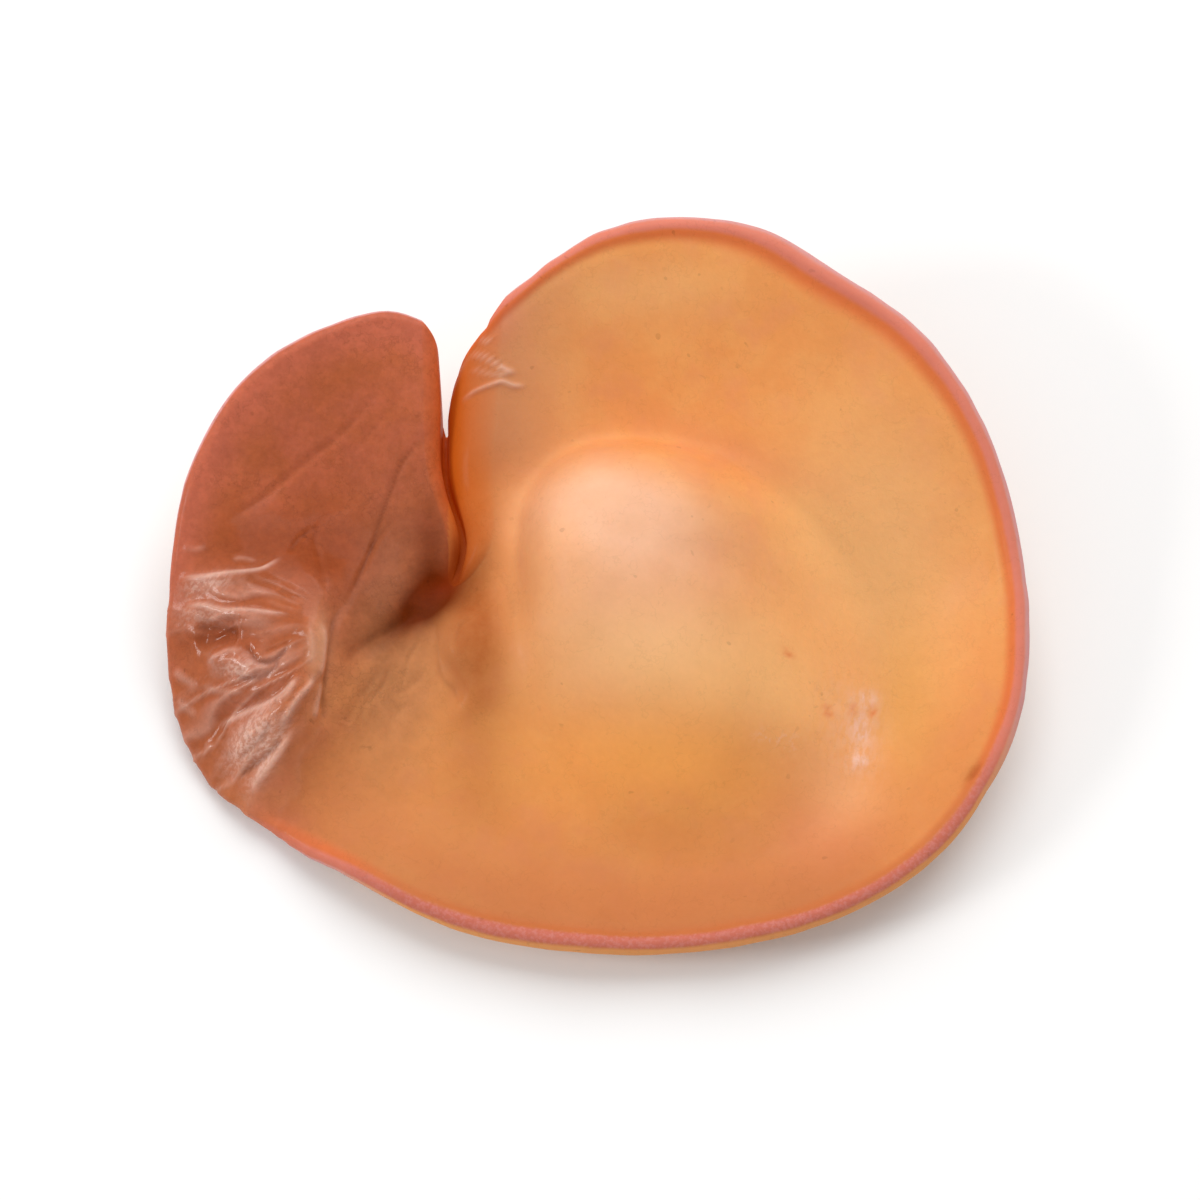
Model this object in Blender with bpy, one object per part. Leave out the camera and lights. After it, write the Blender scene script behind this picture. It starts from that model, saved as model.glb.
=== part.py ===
"""A wood ear: a jelly fungus that grew as one folded sheet from one point on the wood.

The ear lies on its back with its smooth face up. The origin is the centre of the flat cut where
it was taken off the wood, +Z is up, +X runs across the large lobe, and +Y runs up the slit
between the two lobes. Lengths below are in millimetres, and the mesh is in metres.

The whole skin is one grid wrapped round the ear. Its columns run out from the pit over the
smooth face, round the lip of the margin, back along the underside and down the stub to the cut.
"""
import bpy
import bmesh
import numpy as np

MM = 0.001

# The flesh
FLESH = 1.8              # thickness of the sheet out in the lobes
FLESH_AT_PIT = 2.6       # and where it gathers over the stub
GATHER = 9.0             # reach of the thicker flesh round the pit
THIN_SHARE = 0.45        # share of it that the small lobe loses along the slit
THIN_REACH = 2.4         # within this distance of the slit
THIN_START = (3.0, 8.0)  # from here up the slit
EVENING = 4              # how many times the crease under the dome's steep side is rounded,
EVENING_UP = (0.0, 6.0)  # more and more between these places up the slit
EVENING_ACROSS = (2.0, 8.0)    # and these across

# The stub and its cut
CUT_RADIUS = 7.0
CUT_WAVE = 0.07          # how far the cut is from round
CUT_TURN = 0.6           # where it is widest, in radians
FLARE_REACH = 11.5       # distance from the middle at which the sheet starts to turn into the stub
FLARE_SHARE = 0.8        # or this share of a short column
FLARE_SWELL = 1.12       # the stub is this much wider just above its cut
FLARE_KNEE = 2.6         # height at which the flare turns down

# The margin, from the top of the slit round the large lobe and back up the small one:
# across, up the slit, and height of the middle of the lip
MARGIN = (
    (5.2, 23.4, 14.0), (9.0, 26.1, 15.8), (13.7, 28.3, 17.2), (20.0, 29.3, 17.8), (26.4, 28.5, 17.6),
    (33.2, 24.8, 16.8), (39.7, 20.6, 15.6), (44.8, 14.2, 14.0), (48.1, 6.2, 11.2), (49.5, -3.6, 8.8),
    (48.9, -10.8, 7.6), (46.2, -17.4, 6.6), (41.2, -23.8, 5.8), (34.4, -28.2, 5.2), (25.0, -30.9, 4.8),
    (12.0, -31.4, 4.6), (-1.4, -28.4, 4.4), (-8.1, -24.8, 4.2), (-14.9, -20.9, 2.3), (-20.8, -16.4, 1.58),
    (-23.9, -9.8, 2.8), (-24.5, -5.8, 4.4), (-24.0, -1.0, 7.2), (-22.1, 7.2, 11.5), (-17.6, 15.4, 13.4),
    (-10.2, 20.7, 14.0), (-4.6, 22.3, 13.5), (-2.0, 21.7, 13.2),
)

# Heights of the smooth face inside the margin, without the dome, the ridge and the pit
FACE = (
    (17.6, 19.5, 12.0), (7.6, 17.5, 11.6), (28.0, 18.0, 12.0), (36.0, 12.5, 11.0),    # upper wall
    (15.6, 12.5, 8.8), (6.5, 8.0, 8.6), (28.0, 7.5, 8.2), (16.0, 2.0, 7.0),           # round the dome
    (41.0, 0.0, 4.4), (39.0, -11.0, 1.66), (32.5, -20.4, 1.6), (16.5, -24.2, 1.6),     # belly of the large lobe
    (5.0, -22.8, 2.2), (24.0, -14.0, 4.2), (12.0, -13.0, 5.0),
    (4.0, -7.0, 8.0), (4.0, 2.5, 9.2), (3.0, 12.0, 10.6),                             # foot beside the pit
    (-4.6, -19.0, 3.0), (-4.6, -10.0, 5.2),                                           # trough below the pit
    (-18.5, -3.5, 9.2), (-18.5, -10.0, 7.0), (-15.0, -15.5, 5.0),                     # shoulder that rolls over
    (-9.5, 6.5, 7.4), (-10.4, 14.0, 10.6), (-17.0, 7.0, 9.8), (-4.0, 8.5, 8.2),       # cup of the small lobe
    (-3.8, 15.5, 11.0),
)

# The dome of the large lobe: its middle, its height, and for each direction from +X anticlockwise
# its radius, how flat its top is, and how it meets the face (1 leaves a crease, 2 fades away)
DOME_X = 17.0
DOME_Y = 0.0
DOME_HEIGHT = 8.8
DOME_RADIUS = (21.0, 15.5, 13.0, 12.6, 13.2, 12.6, 11.4, 12.2, 17.0, 24.5, 28.0, 26.5)
DOME_FLATNESS = (2.0, 2.4, 2.9, 3.2, 3.4, 3.4, 3.3, 2.8, 2.2, 2.0, 2.0, 2.0)
DOME_FADE = (2.0, 1.45, 1.1, 1.0, 1.0, 1.0, 1.0, 1.1, 1.5, 1.7, 1.7, 1.8)
DOME_FAR = 1.5           # share of the radius beyond which nothing of it is left
DOME_FILLET = 1.4        # softens the crease
DOME_FOOT = 0.35         # over this share of the radius to either side of it

# The ridge that crosses the small lobe, from its cup down to the rolled margin
RIDGE_HEIGHT = 2.4
RIDGE_X = -10.8          # nearest to the pit, at RIDGE_Y
RIDGE_Y = -5.5
RIDGE_BOW = 0.034        # how fast it bows away from there
RIDGE_WIDTH = 3.6
RIDGE_TOP = 6.0          # how far up the small lobe it starts
RIDGE_FOOT = -22.0       # and where it runs out
RIDGE_FADE = 12.0        # over this length at either end

# The pit where the sheet gathers
PIT_DEPTH = 2.6
PIT_RADIUS = 3.6

# The slit: a deep pleat that shuts between the lobes
SLIT_GAP = 0.3           # half the space between its walls
SLIT_OPENING = 15.0      # beyond here its walls part
SLIT_TURN = (1.7, 0.95)        # how the margin turns into it: late on the small lobe, at once on the large
SLIT_PARTING = (0.008, 0.05)   # on the small lobe's side and the large one's, for each mm further, squared
SLIT_FLOOR = 4.0         # height of its bottom edge
SLIT_END = 14.6          # how far up it reaches at the bottom
SLIT_SPREAD = 0.8        # how fast its sides spread into the pit
SLIT_REACH = 2.6         # angle from the slit, in radians, at which the columns run straight again
SLIT_LIP_SHARE = 0.42    # share of each side that rolls over into the slit
SLIT_FLOOR_SHARE = 0.14  # share of each side that turns along its bottom
SLIT_LIP_HEIGHT = 0.62   # share of the slit's depth that the roll takes
BOW_PIT = (1.3, 3.5, 3.6)      # how far the slit bows towards the large lobe, how far up, and over what length
BOW_TOP = (0.5, 6.0, 12.0)     # and back towards the small lobe, rising between these places up the slit
BOW_WIDTH = 6.0          # the flesh within this distance follows

# Broad folds: height (a hollow is below 0), half width, and the line that each follows
FOLDS = (
    (-0.70, 1.30, ((-22.2, -5.0), (-20.1, -5.1), (-17.8, -5.2))),                    # in the rolled shoulder
    (0.50, 0.95, ((-21.0, -7.3), (-18.7, -7.4), (-16.9, -8.4), (-15.4, -9.0))),
    (-0.60, 0.90, ((-12.6, -9.6), (-13.6, -10.5), (-15.6, -11.4), (-17.8, -11.7), (-21.6, -12.9))),
    (0.60, 1.10, ((-19.2, -15.4), (-16.6, -14.0), (-14.4, -12.4), (-12.5, -10.6))),
    (0.40, 0.95, ((-12.3, -4.4), (-11.4, -6.4), (-11.0, -8.6), (-11.4, -10.2))),     # crest of the ridge
    (-0.45, 0.95, ((-8.2, -1.0), (-9.9, -4.6), (-10.0, -7.5), (-10.2, -10.4), (-11.8, -14.2))),
    (-0.40, 0.90, ((-1.8, -1.8), (-4.4, -4.4), (-7.0, -6.5), (-9.0, -8.2))),         # out of the pit
    (-0.50, 0.95, ((-1.6, -1.8), (-1.2, -4.5), (-0.8, -6.9), (0.6, -9.0), (1.2, -11.7))),
    (-0.25, 1.60, ((4.2, 7.4), (5.8, 3.8), (6.6, -0.3), (6.3, -3.0), (5.2, -6.0))),  # where the dome stands
)
FOLD_POINTS = 24         # points along each line
FOLD_TAPER = 0.22        # share of its length over which each end fades
FOLD_EDGE = 3.0          # beyond this many half widths nothing of it is left
UP = np.array((0.0, 0.0, 1.0))

# The grid
LOBE_COLUMNS = 90
SLIT_COLUMNS = 14
FACE_RINGS = 24
LIP_RINGS = 4
UNDER_RINGS = 16
STUB_RINGS = 4
CROWDS = ((0.14, 1.4), (0.79, 0.8))    # share of the way round where the columns crowd, and how much
CROWD_SPAN = 0.10        # over this share to either side
LINE_STEPS = 30          # points measured along a smooth line for each of its stations
OUT_STEP = 0.01          # share of the way out over which a direction is measured
PIT_SHARE = 0.0001       # share of the way out at which the columns meet in the pit
WELD = 0.0000001         # corners nearer than this, in metres, are one corner
LOG_FLOOR = 0.000000001  # keeps the logarithm of a distance of 0 finite

# Finish of the flesh
FLESH_COLOUR = (0.78, 0.33, 0.12, 1.0)
FLESH_ROUGHNESS = 0.42


def line_through(stations, shares):
    """Points at shares of the length of the smooth open line through the stations."""
    line = np.array(stations, dtype=float)
    steps = np.linalg.norm(np.diff(line, axis=0), axis=1)
    knots = np.concatenate(([0.0], np.cumsum(steps)))
    slopes = np.gradient(line, knots, axis=0)
    where = np.linspace(0.0, knots[-1], LINE_STEPS * len(line))
    left = np.clip(np.searchsorted(knots, where, side="right") - 1, 0, len(knots) - 2)
    span = (knots[left + 1] - knots[left])[:, None]
    u = (where - knots[left])[:, None] / span
    dense = ((2 * u**3 - 3 * u**2 + 1) * line[left] + (u**3 - 2 * u**2 + u) * span * slopes[left]
             + (3 * u**2 - 2 * u**3) * line[left + 1] + (u**3 - u**2) * span * slopes[left + 1])
    run = np.concatenate(([0.0], np.cumsum(np.linalg.norm(np.diff(dense, axis=0), axis=1))))
    return np.stack([np.interp(shares * run[-1], run, values) for values in dense.T], axis=1)


def plate_through(stations):
    """The smoothest bent plate that passes through the stations, as a height over (x, y)."""
    place = np.array(stations, dtype=float)
    count = len(place)

    def bend(dx, dy):
        square = dx**2 + dy**2 + LOG_FLOOR
        return 0.5 * square * np.log(square)

    flat = np.column_stack([np.ones(count), place[:, :2]])
    system = np.zeros((count + 3, count + 3))
    system[:count, :count] = bend(place[:, None, 0] - place[None, :, 0], place[:, None, 1] - place[None, :, 1])
    system[:count, count:] = flat
    system[count:, :count] = flat.T
    weight = np.linalg.solve(system, np.concatenate([place[:, 2], np.zeros(3)]))

    def height(x, y):
        total = weight[count] + weight[count + 1] * x + weight[count + 2] * y
        for (px, py, _), share in zip(place, weight):
            total = total + share * bend(x - px, y - py)
        return total

    return height


def ramp(x, start, end):
    """Smooth rise from 0 at start to 1 at end."""
    u = np.clip((x - start) / (end - start), 0.0, 1.0)
    return u * u * (3.0 - 2.0 * u)


def round_the_clock(values, angle):
    """Smooth value at an angle, from values given at even steps anticlockwise from +X."""
    values = np.array(values, dtype=float)
    count = len(values)
    turn = (angle / (2 * np.pi)) % 1.0 * count
    index = np.floor(turn).astype(int)
    u = turn - index
    before, here, after, beyond = (values[(index + step) % count] for step in (-1, 0, 1, 2))
    return here + 0.5 * u * (after - before + u * (2 * before - 5 * here + 4 * after - beyond
                                                   + u * (3 * (here - after) + beyond - before)))


def dome(x, y):
    """Height of the dome: full in its middle, gone at its radius in each direction."""
    angle = np.arctan2(y - DOME_Y, x - DOME_X)
    share = np.hypot(x - DOME_X, y - DOME_Y) / round_the_clock(DOME_RADIUS, angle)
    fade = round_the_clock(DOME_FADE, angle)
    inside = 1.0 - np.minimum(share, DOME_FAR)**round_the_clock(DOME_FLATNESS, angle)
    rise = DOME_HEIGHT * np.sign(inside) * np.abs(inside)**fade
    fillet = DOME_FILLET * (2.0 - fade) * np.exp(-((share - 1.0) / DOME_FOOT)**2)
    return 0.5 * (rise + np.sqrt(rise**2 + fillet**2))


def ridge(x, y):
    """Height of the ridge, a soft crest along a bowed line."""
    crest = RIDGE_X - RIDGE_BOW * (y - RIDGE_Y)**2
    length = ramp(y, RIDGE_FOOT, RIDGE_FOOT + RIDGE_FADE) * (1.0 - ramp(y, RIDGE_TOP - RIDGE_FADE, RIDGE_TOP))
    return RIDGE_HEIGHT * length * np.exp(-((x - crest) / RIDGE_WIDTH)**2)


def pit(x, y):
    """Depth of the pit."""
    return PIT_DEPTH * np.exp(-(x**2 + y**2) / PIT_RADIUS**2)


def folds(here):
    """Rise of the broad folds at places on the smooth face: a bell across each line, fading towards
    both of its ends. The underside has none of them."""
    x, y = here[..., 0], here[..., 1]
    total = np.zeros(x.shape)
    for height, width, stations in FOLDS:
        line = line_through(stations, np.linspace(0.0, 1.0, FOLD_POINTS))
        start, step = line[:-1], np.diff(line, axis=0)
        from_x, from_y = x[..., None] - start[:, 0], y[..., None] - start[:, 1]
        u = np.clip((from_x * step[:, 0] + from_y * step[:, 1]) / (step**2).sum(axis=1), 0.0, 1.0)
        gap = np.hypot(from_x - u * step[:, 0], from_y - u * step[:, 1])
        nearest = gap.argmin(axis=-1)[..., None]
        along = (nearest + np.take_along_axis(u, nearest, axis=-1))[..., 0] / len(step)
        fade = ramp(along, 0.0, FOLD_TAPER) * ramp(1.0 - along, 0.0, FOLD_TAPER)
        across = np.minimum(gap.min(axis=-1) / width, FOLD_EDGE)
        total = total + height * fade * np.exp(-across**2)
    return total[..., None] * UP


PLATE = plate_through(MARGIN + FACE)


def relief(x, y):
    """Height of the smooth face over a place in plan, outside the slit."""
    return PLATE(x, y) + dome(x, y) + ridge(x, y) - pit(x, y)


def column_shares():
    """Shares of the margin's length at which the columns start, closer together where they crowd."""
    t = np.linspace(0.0, 1.0, LINE_STEPS * LOBE_COLUMNS)
    density = 1.0 + sum(more * np.exp(-((t - share) / CROWD_SPAN)**2) for share, more in CROWDS)
    run = np.concatenate(([0.0], np.cumsum(0.5 * (density[1:] + density[:-1]))))
    return np.interp(np.linspace(0.0, run[-1], LOBE_COLUMNS), run, t)


RIM = line_through(MARGIN, column_shares())


def spread(rim, edge, s):
    """Plan of columns at a share s of the way out: straight rays from the pit, fanned away from the
    slit near the pit so that the column at the slit's edge runs beside it."""
    angle = np.abs(np.arctan2(rim[..., 0], rim[..., 1]))
    first = np.abs(np.arctan2(edge[0], edge[1]))
    opened = np.arctan(np.tan(first) * s**-SLIT_SPREAD) - first
    angle = angle + opened * (1.0 - ramp(angle, first, SLIT_REACH))
    reach = np.hypot(rim[..., 0], rim[..., 1]) * s
    return np.sign(rim[..., 0]) * reach * np.sin(angle), reach * np.cos(angle)


def lobes(s):
    """Smooth face of the two lobes: for shares s of the way out (rings, columns), places in space."""
    right = spread(RIM, RIM[0], s)
    left = spread(RIM, RIM[-1], s)
    x, y = (np.where(RIM[:, 0] > 0, a, b) for a, b in zip(right, left))
    return np.stack([x, y, relief(x, y)], axis=-1)


def slit(s):
    """The pleat: from the small lobe down one wall, round the bottom and up to the large lobe."""
    p = np.linspace(-1.0, 1.0, SLIT_COLUMNS + 2)[1:-1]
    depth = 1.0 - np.abs(p)
    roll = np.clip(depth / SLIT_LIP_SHARE, 0.0, 1.0) * np.pi / 2
    fall = np.clip((depth - SLIT_LIP_SHARE) / (1.0 - SLIT_LIP_SHARE - SLIT_FLOOR_SHARE), 0.0, 1.0)
    turn = np.clip((depth - 1.0 + SLIT_FLOOR_SHARE) / SLIT_FLOOR_SHARE, 0.0, 1.0) * np.pi / 2

    small = spread(RIM[-1], RIM[-1], s)
    large = spread(RIM[0], RIM[0], s)
    edge_x, edge_y = (np.where(p < 0, a, b) for a, b in zip(small, large))
    y = edge_y + (SLIT_END * s - edge_y) * depth**np.where(p < 0, *SLIT_TURN)
    lip_height = relief(edge_x, y)

    beyond = np.maximum(y - SLIT_OPENING, 0.0)
    gap = SLIT_GAP + np.where(p < 0, *SLIT_PARTING) * beyond**2
    gap = np.sign(p) * np.minimum(gap, 0.5 * np.abs(edge_x))
    x = (gap + (edge_x - gap) * (1.0 - np.sin(roll))) * np.cos(turn)
    middle = relief(0.0, 0.0)
    floor = middle + (SLIT_FLOOR - middle) * ramp(s, 0.0, 1.0)
    drop = np.maximum(lip_height - floor, 0.0)
    roll_height = np.minimum(SLIT_LIP_HEIGHT * drop, np.abs(edge_x - gap))
    z = lip_height - roll_height * (1.0 - np.cos(roll)) - fall * (drop - roll_height)
    return np.stack([x, y, z], axis=-1)


def bow(x, y):
    """How far the flesh beside the slit is pushed across, so that the slit runs in a soft S."""
    push, middle, length = BOW_PIT
    back, start, end = BOW_TOP
    along = push * np.exp(-((y - middle) / length)**2) - back * ramp(y, start, end)
    return along * np.exp(-(x / BOW_WIDTH)**2)


def face(s):
    """Smooth face over all columns; s is one share, or one share for each ring and column."""
    s = np.broadcast_to(s, (np.shape(s)[0], LOBE_COLUMNS + SLIT_COLUMNS))
    place = np.concatenate([lobes(s[:, :LOBE_COLUMNS]), slit(s[:, LOBE_COLUMNS:])], axis=1)
    place[..., 0] += bow(place[..., 0], place[..., 1])
    return place


def outward(s):
    """Unit normal of the smooth face, and the unit direction in which its columns run out."""
    run = face(np.minimum(s + OUT_STEP, 1.0)) - face(s - OUT_STEP)
    here = face(s)
    across = np.roll(here, -1, axis=1) - np.roll(here, 1, axis=1)
    normal = np.cross(across, run)
    normal = normal / np.linalg.norm(normal, axis=-1, keepdims=True)
    run = run - (run * normal).sum(axis=-1, keepdims=True) * normal
    return normal, run / np.linalg.norm(run, axis=-1, keepdims=True)


def thickness(here):
    """Thickness of the flesh under a place on the smooth face."""
    x, y = here[..., 0], here[..., 1]
    near = np.exp(-(x**2 + y**2) / GATHER**2)
    thin = THIN_SHARE * np.exp(-(x / THIN_REACH)**2) * ramp(-x, -SLIT_GAP, SLIT_GAP) * ramp(y, *THIN_START)
    return (FLESH + (FLESH_AT_PIT - FLESH) * near) * (1.0 - thin)


def underside(s):
    """The outer skin, one thickness below the smooth face."""
    here = face(s)
    normal, _ = outward(s)
    return here - thickness(here)[..., None] * normal


def evened(rings):
    """The underside with its crease round the dome's steep side rounded: on that side each place inside
    the large lobe moves halfway to the mean of its four neighbours, some times over."""
    for _ in range(EVENING):
        inside = rings[1:-1, 1:LOBE_COLUMNS - 1]
        around = (rings[:-2, 1:LOBE_COLUMNS - 1] + rings[2:, 1:LOBE_COLUMNS - 1]
                  + rings[1:-1, :LOBE_COLUMNS - 2] + rings[1:-1, 2:LOBE_COLUMNS])
        share = 0.5 * ramp(inside[..., 1:2], *EVENING_UP) * ramp(inside[..., :1], *EVENING_ACROSS)
        rings[1:-1, 1:LOBE_COLUMNS - 1] = inside + share * (0.25 * around - inside)
    return rings


def lip():
    """Half-round lip from the smooth face to the underside at the margin."""
    edge = np.ones((1, 1))
    here = face(edge)
    normal, run = outward(np.full((1, LOBE_COLUMNS + SLIT_COLUMNS), 1.0))
    half = 0.5 * thickness(here)[..., None]
    turn = np.linspace(0.0, np.pi, LIP_RINGS + 2)[1:-1, None, None]
    bead = here - half * normal + half * (np.cos(turn) * normal + np.sin(turn) * run)
    return bead + folds(here) * 0.5 * (1.0 + np.cos(turn))


def stub(last_ring):
    """Flare from the last ring of the underside down to the edge of the cut."""
    angle = np.unwrap(np.arctan2(last_ring[:LOBE_COLUMNS, 1], last_ring[:LOBE_COLUMNS, 0]))
    rest = np.linspace(angle[-1], angle[0] - 2 * np.pi, SLIT_COLUMNS + 2)[1:-1]
    angle = np.concatenate([angle, rest])
    radius = CUT_RADIUS * (1.0 + CUT_WAVE * np.cos(2 * angle + CUT_TURN))
    foot = np.stack([radius * np.cos(angle), radius * np.sin(angle), np.zeros_like(angle)], axis=-1)
    knee = foot * FLARE_SWELL
    knee[:, 2] = np.minimum(last_ring[:, 2], FLARE_KNEE)
    q = np.linspace(0.0, 1.0, STUB_RINGS + 1)[1:, None, None]
    return (1 - q)**2 * last_ring + 2 * q * (1 - q) * knee + q**2 * foot


def skin():
    """All rings of the closed skin, from the bottom of the pit to the middle of the cut."""
    out = np.linspace(0.0, 1.0, FACE_RINGS + 1)[1:, None]
    top = face(out)
    reach = np.linalg.norm(top[-1, :, :2], axis=-1)
    back = np.linspace(1.0, 0.0, UNDER_RINGS)[:, None]
    start = np.minimum(FLARE_REACH / reach, FLARE_SHARE)
    under = evened(underside(start + (1.0 - start) * back))
    pit_pole = np.broadcast_to(face(np.full((1, 1), PIT_SHARE))[:, :1], (1,) + top.shape[1:])
    cut_pole = np.zeros((1,) + top.shape[1:])
    return np.concatenate([pit_pole, top + folds(top), lip(), under, stub(under[-1]), cut_pole])


def fruit_body(collection):
    """The ear: a flat grid wrapped into the skin, closed at its seam and its two poles."""
    rings = skin()
    count, columns = rings.shape[:2]
    mesh = bpy.data.meshes.new("fruit_body")
    shape = bmesh.new()
    bmesh.ops.create_grid(shape, x_segments=columns, y_segments=count - 1, size=0.5)
    for vertex in shape.verts:
        column = round((vertex.co.x + 0.5) * columns) % columns
        ring = round((vertex.co.y + 0.5) * (count - 1))
        vertex.co = rings[ring, column] * MM
    bmesh.ops.remove_doubles(shape, verts=shape.verts, dist=WELD)
    bmesh.ops.recalc_face_normals(shape, faces=shape.faces)
    shape.to_mesh(mesh)
    shape.free()
    mesh.shade_smooth()
    body = bpy.data.objects.new("fruit_body", mesh)
    body.data.materials.append(flesh())
    collection.objects.link(body)
    return body


def flesh():
    """Moist orange-brown jelly."""
    material = bpy.data.materials.new("flesh")
    material.use_nodes = True
    shader = material.node_tree.nodes["Principled BSDF"]
    shader.inputs["Base Color"].default_value = FLESH_COLOUR
    shader.inputs["Roughness"].default_value = FLESH_ROUGHNESS
    shader.inputs["Metallic"].default_value = 0.0
    return material


def main():
    for thing in list(bpy.data.objects):
        bpy.data.objects.remove(thing, do_unlink=True)
    collection = bpy.data.collections.new("wood_ear")
    bpy.context.scene.collection.children.link(collection)
    fruit_body(collection)


main()
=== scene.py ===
"""Looks of a wood ear: its moist smooth face, its pink margin, its puckered small lobe, the velvet
of its underside and the paler cut of its stub, on a pale floor in soft light.

Shapes are worked out in millimetres and put into the mesh in metres. The skin is one surface of two
parameters: columns run round the margin and through the slit, and rings run from the pit over the
smooth face, round the lip, back along the underside, down the stub and across the cut.
"""
import math

import bpy
import numpy as np
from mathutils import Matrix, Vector


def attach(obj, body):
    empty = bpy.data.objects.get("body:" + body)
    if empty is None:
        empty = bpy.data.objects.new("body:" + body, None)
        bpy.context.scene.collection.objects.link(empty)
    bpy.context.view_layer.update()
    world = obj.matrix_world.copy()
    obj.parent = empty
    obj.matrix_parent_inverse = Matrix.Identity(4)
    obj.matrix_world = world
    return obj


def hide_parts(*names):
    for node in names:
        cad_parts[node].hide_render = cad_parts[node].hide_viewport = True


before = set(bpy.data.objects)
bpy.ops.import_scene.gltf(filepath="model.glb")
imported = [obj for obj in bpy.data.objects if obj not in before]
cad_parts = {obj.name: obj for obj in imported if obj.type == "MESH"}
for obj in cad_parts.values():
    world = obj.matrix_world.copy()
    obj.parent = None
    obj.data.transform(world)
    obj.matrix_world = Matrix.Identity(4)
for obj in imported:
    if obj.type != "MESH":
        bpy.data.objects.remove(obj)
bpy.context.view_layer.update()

MM = 0.001

# The sheet, its stub and its cut
FLESH = 1.8              # thickness out in the lobes
FLESH_AT_PIT = 2.6       # and where it gathers over the stub
GATHER = 9.0             # reach of the thicker flesh round the pit
THIN_SHARE = 0.45        # share of it that the small lobe loses along the slit
THIN_REACH = 2.4         # within this distance of the slit
THIN_START = (3.0, 8.0)  # from here up the slit
EVENING = 30             # how many times the crease under the dome's steep side is rounded,
EVENING_UP = (0.0, 6.0)  # more and more between these places up the slit
EVENING_ACROSS = (2.0, 8.0)    # and these across
SEAM_RISE = (0.30, 0.55)       # share of the way in over which the columns beside the slit are evened
CUT_RADIUS = 7.0
CUT_WAVE = 0.07          # how far the cut is from round
CUT_TURN = 0.6           # where it is widest, in radians
FLARE_REACH = 11.5       # where the sheet starts to turn into the stub
FLARE_SHARE = 0.8        # or this share of a short column
FLARE_SWELL = 1.12       # the stub is this much wider just above its cut
FLARE_KNEE = 2.6         # height at which the flare turns down

# The margin, from the top of the slit round the large lobe and back up the small one:
# across, up the slit, and height of the middle of the lip
MARGIN = (
    (5.2, 23.4, 14), (9, 26.1, 15.8), (13.7, 28.3, 17.2), (20, 29.3, 17.8), (26.4, 28.5, 17.6),
    (33.2, 24.8, 16.8), (39.7, 20.6, 15.6), (44.8, 14.2, 14), (48.1, 6.2, 11.2), (49.5, -3.6, 8.8),
    (48.9, -10.8, 7.6), (46.2, -17.4, 6.6), (41.2, -23.8, 5.8), (34.4, -28.2, 5.2), (25, -30.9, 4.8),
    (12, -31.4, 4.6), (-1.4, -28.4, 4.4), (-8.1, -24.8, 4.2), (-14.9, -20.9, 2.3), (-20.8, -16.4, 1.58),
    (-23.9, -9.8, 2.8), (-24.5, -5.8, 4.4), (-24, -1, 7.2), (-22.1, 7.2, 11.5), (-17.6, 15.4, 13.4),
    (-10.2, 20.7, 14), (-4.6, 22.3, 13.5), (-2, 21.7, 13.2),
)

# Heights of the smooth face inside the margin, without the dome, the ridge and the pit
FACE = (
    (17.6, 19.5, 12), (7.6, 17.5, 11.6), (28, 18, 12), (36, 12.5, 11),    # upper wall
    (15.6, 12.5, 8.8), (6.5, 8, 8.6), (28, 7.5, 8.2), (16, 2, 7),    # round the dome
    (41, 0, 4.4), (39, -11, 1.66), (32.5, -20.4, 1.6), (16.5, -24.2, 1.6),    # belly
    (5, -22.8, 2.2), (24, -14, 4.2), (12, -13, 5),
    (4, -7, 8), (4, 2.5, 9.2), (3, 12, 10.6),    # foot beside the pit
    (-4.6, -19, 3), (-4.6, -10, 5.2),    # trough below the pit
    (-18.5, -3.5, 9.2), (-18.5, -10, 7), (-15, -15.5, 5),    # shoulder that rolls over
    (-9.5, 6.5, 7.4), (-10.4, 14, 10.6), (-17, 7, 9.8), (-4, 8.5, 8.2),    # cup of the small lobe
    (-3.8, 15.5, 11),
)

# The dome of the large lobe, every 30 degrees anticlockwise from +X: its radius, how flat its top is,
# and how it meets the face (1 leaves a crease, 2 fades away)
DOME_X = 17.0
DOME_Y = 0.0
DOME_HEIGHT = 8.8
DOME_RADIUS = (21, 15.5, 13, 12.6, 13.2, 12.6, 11.4, 12.2, 17, 24.5, 28, 26.5)
DOME_FLATNESS = (2, 2.4, 2.9, 3.2, 3.4, 3.4, 3.3, 2.8, 2.2, 2, 2, 2)
DOME_FADE = (2, 1.45, 1.1, 1, 1, 1, 1, 1.1, 1.5, 1.7, 1.7, 1.8)
DOME_FAR = 1.5           # share of the radius beyond which nothing of it is left
DOME_FILLET = 1.4        # softens the crease
DOME_FOOT = 0.35         # over this share of the radius to either side of it

# The ridge that crosses the small lobe, and the pit where the sheet gathers
RIDGE_HEIGHT = 2.4
RIDGE_X = -10.8
RIDGE_Y = -5.5
RIDGE_BOW = 0.034
RIDGE_WIDTH = 3.6
RIDGE_TOP = 6.0
RIDGE_FOOT = -22.0
RIDGE_FADE = 12.0
PIT_DEPTH = 2.6
PIT_RADIUS = 3.6

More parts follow.
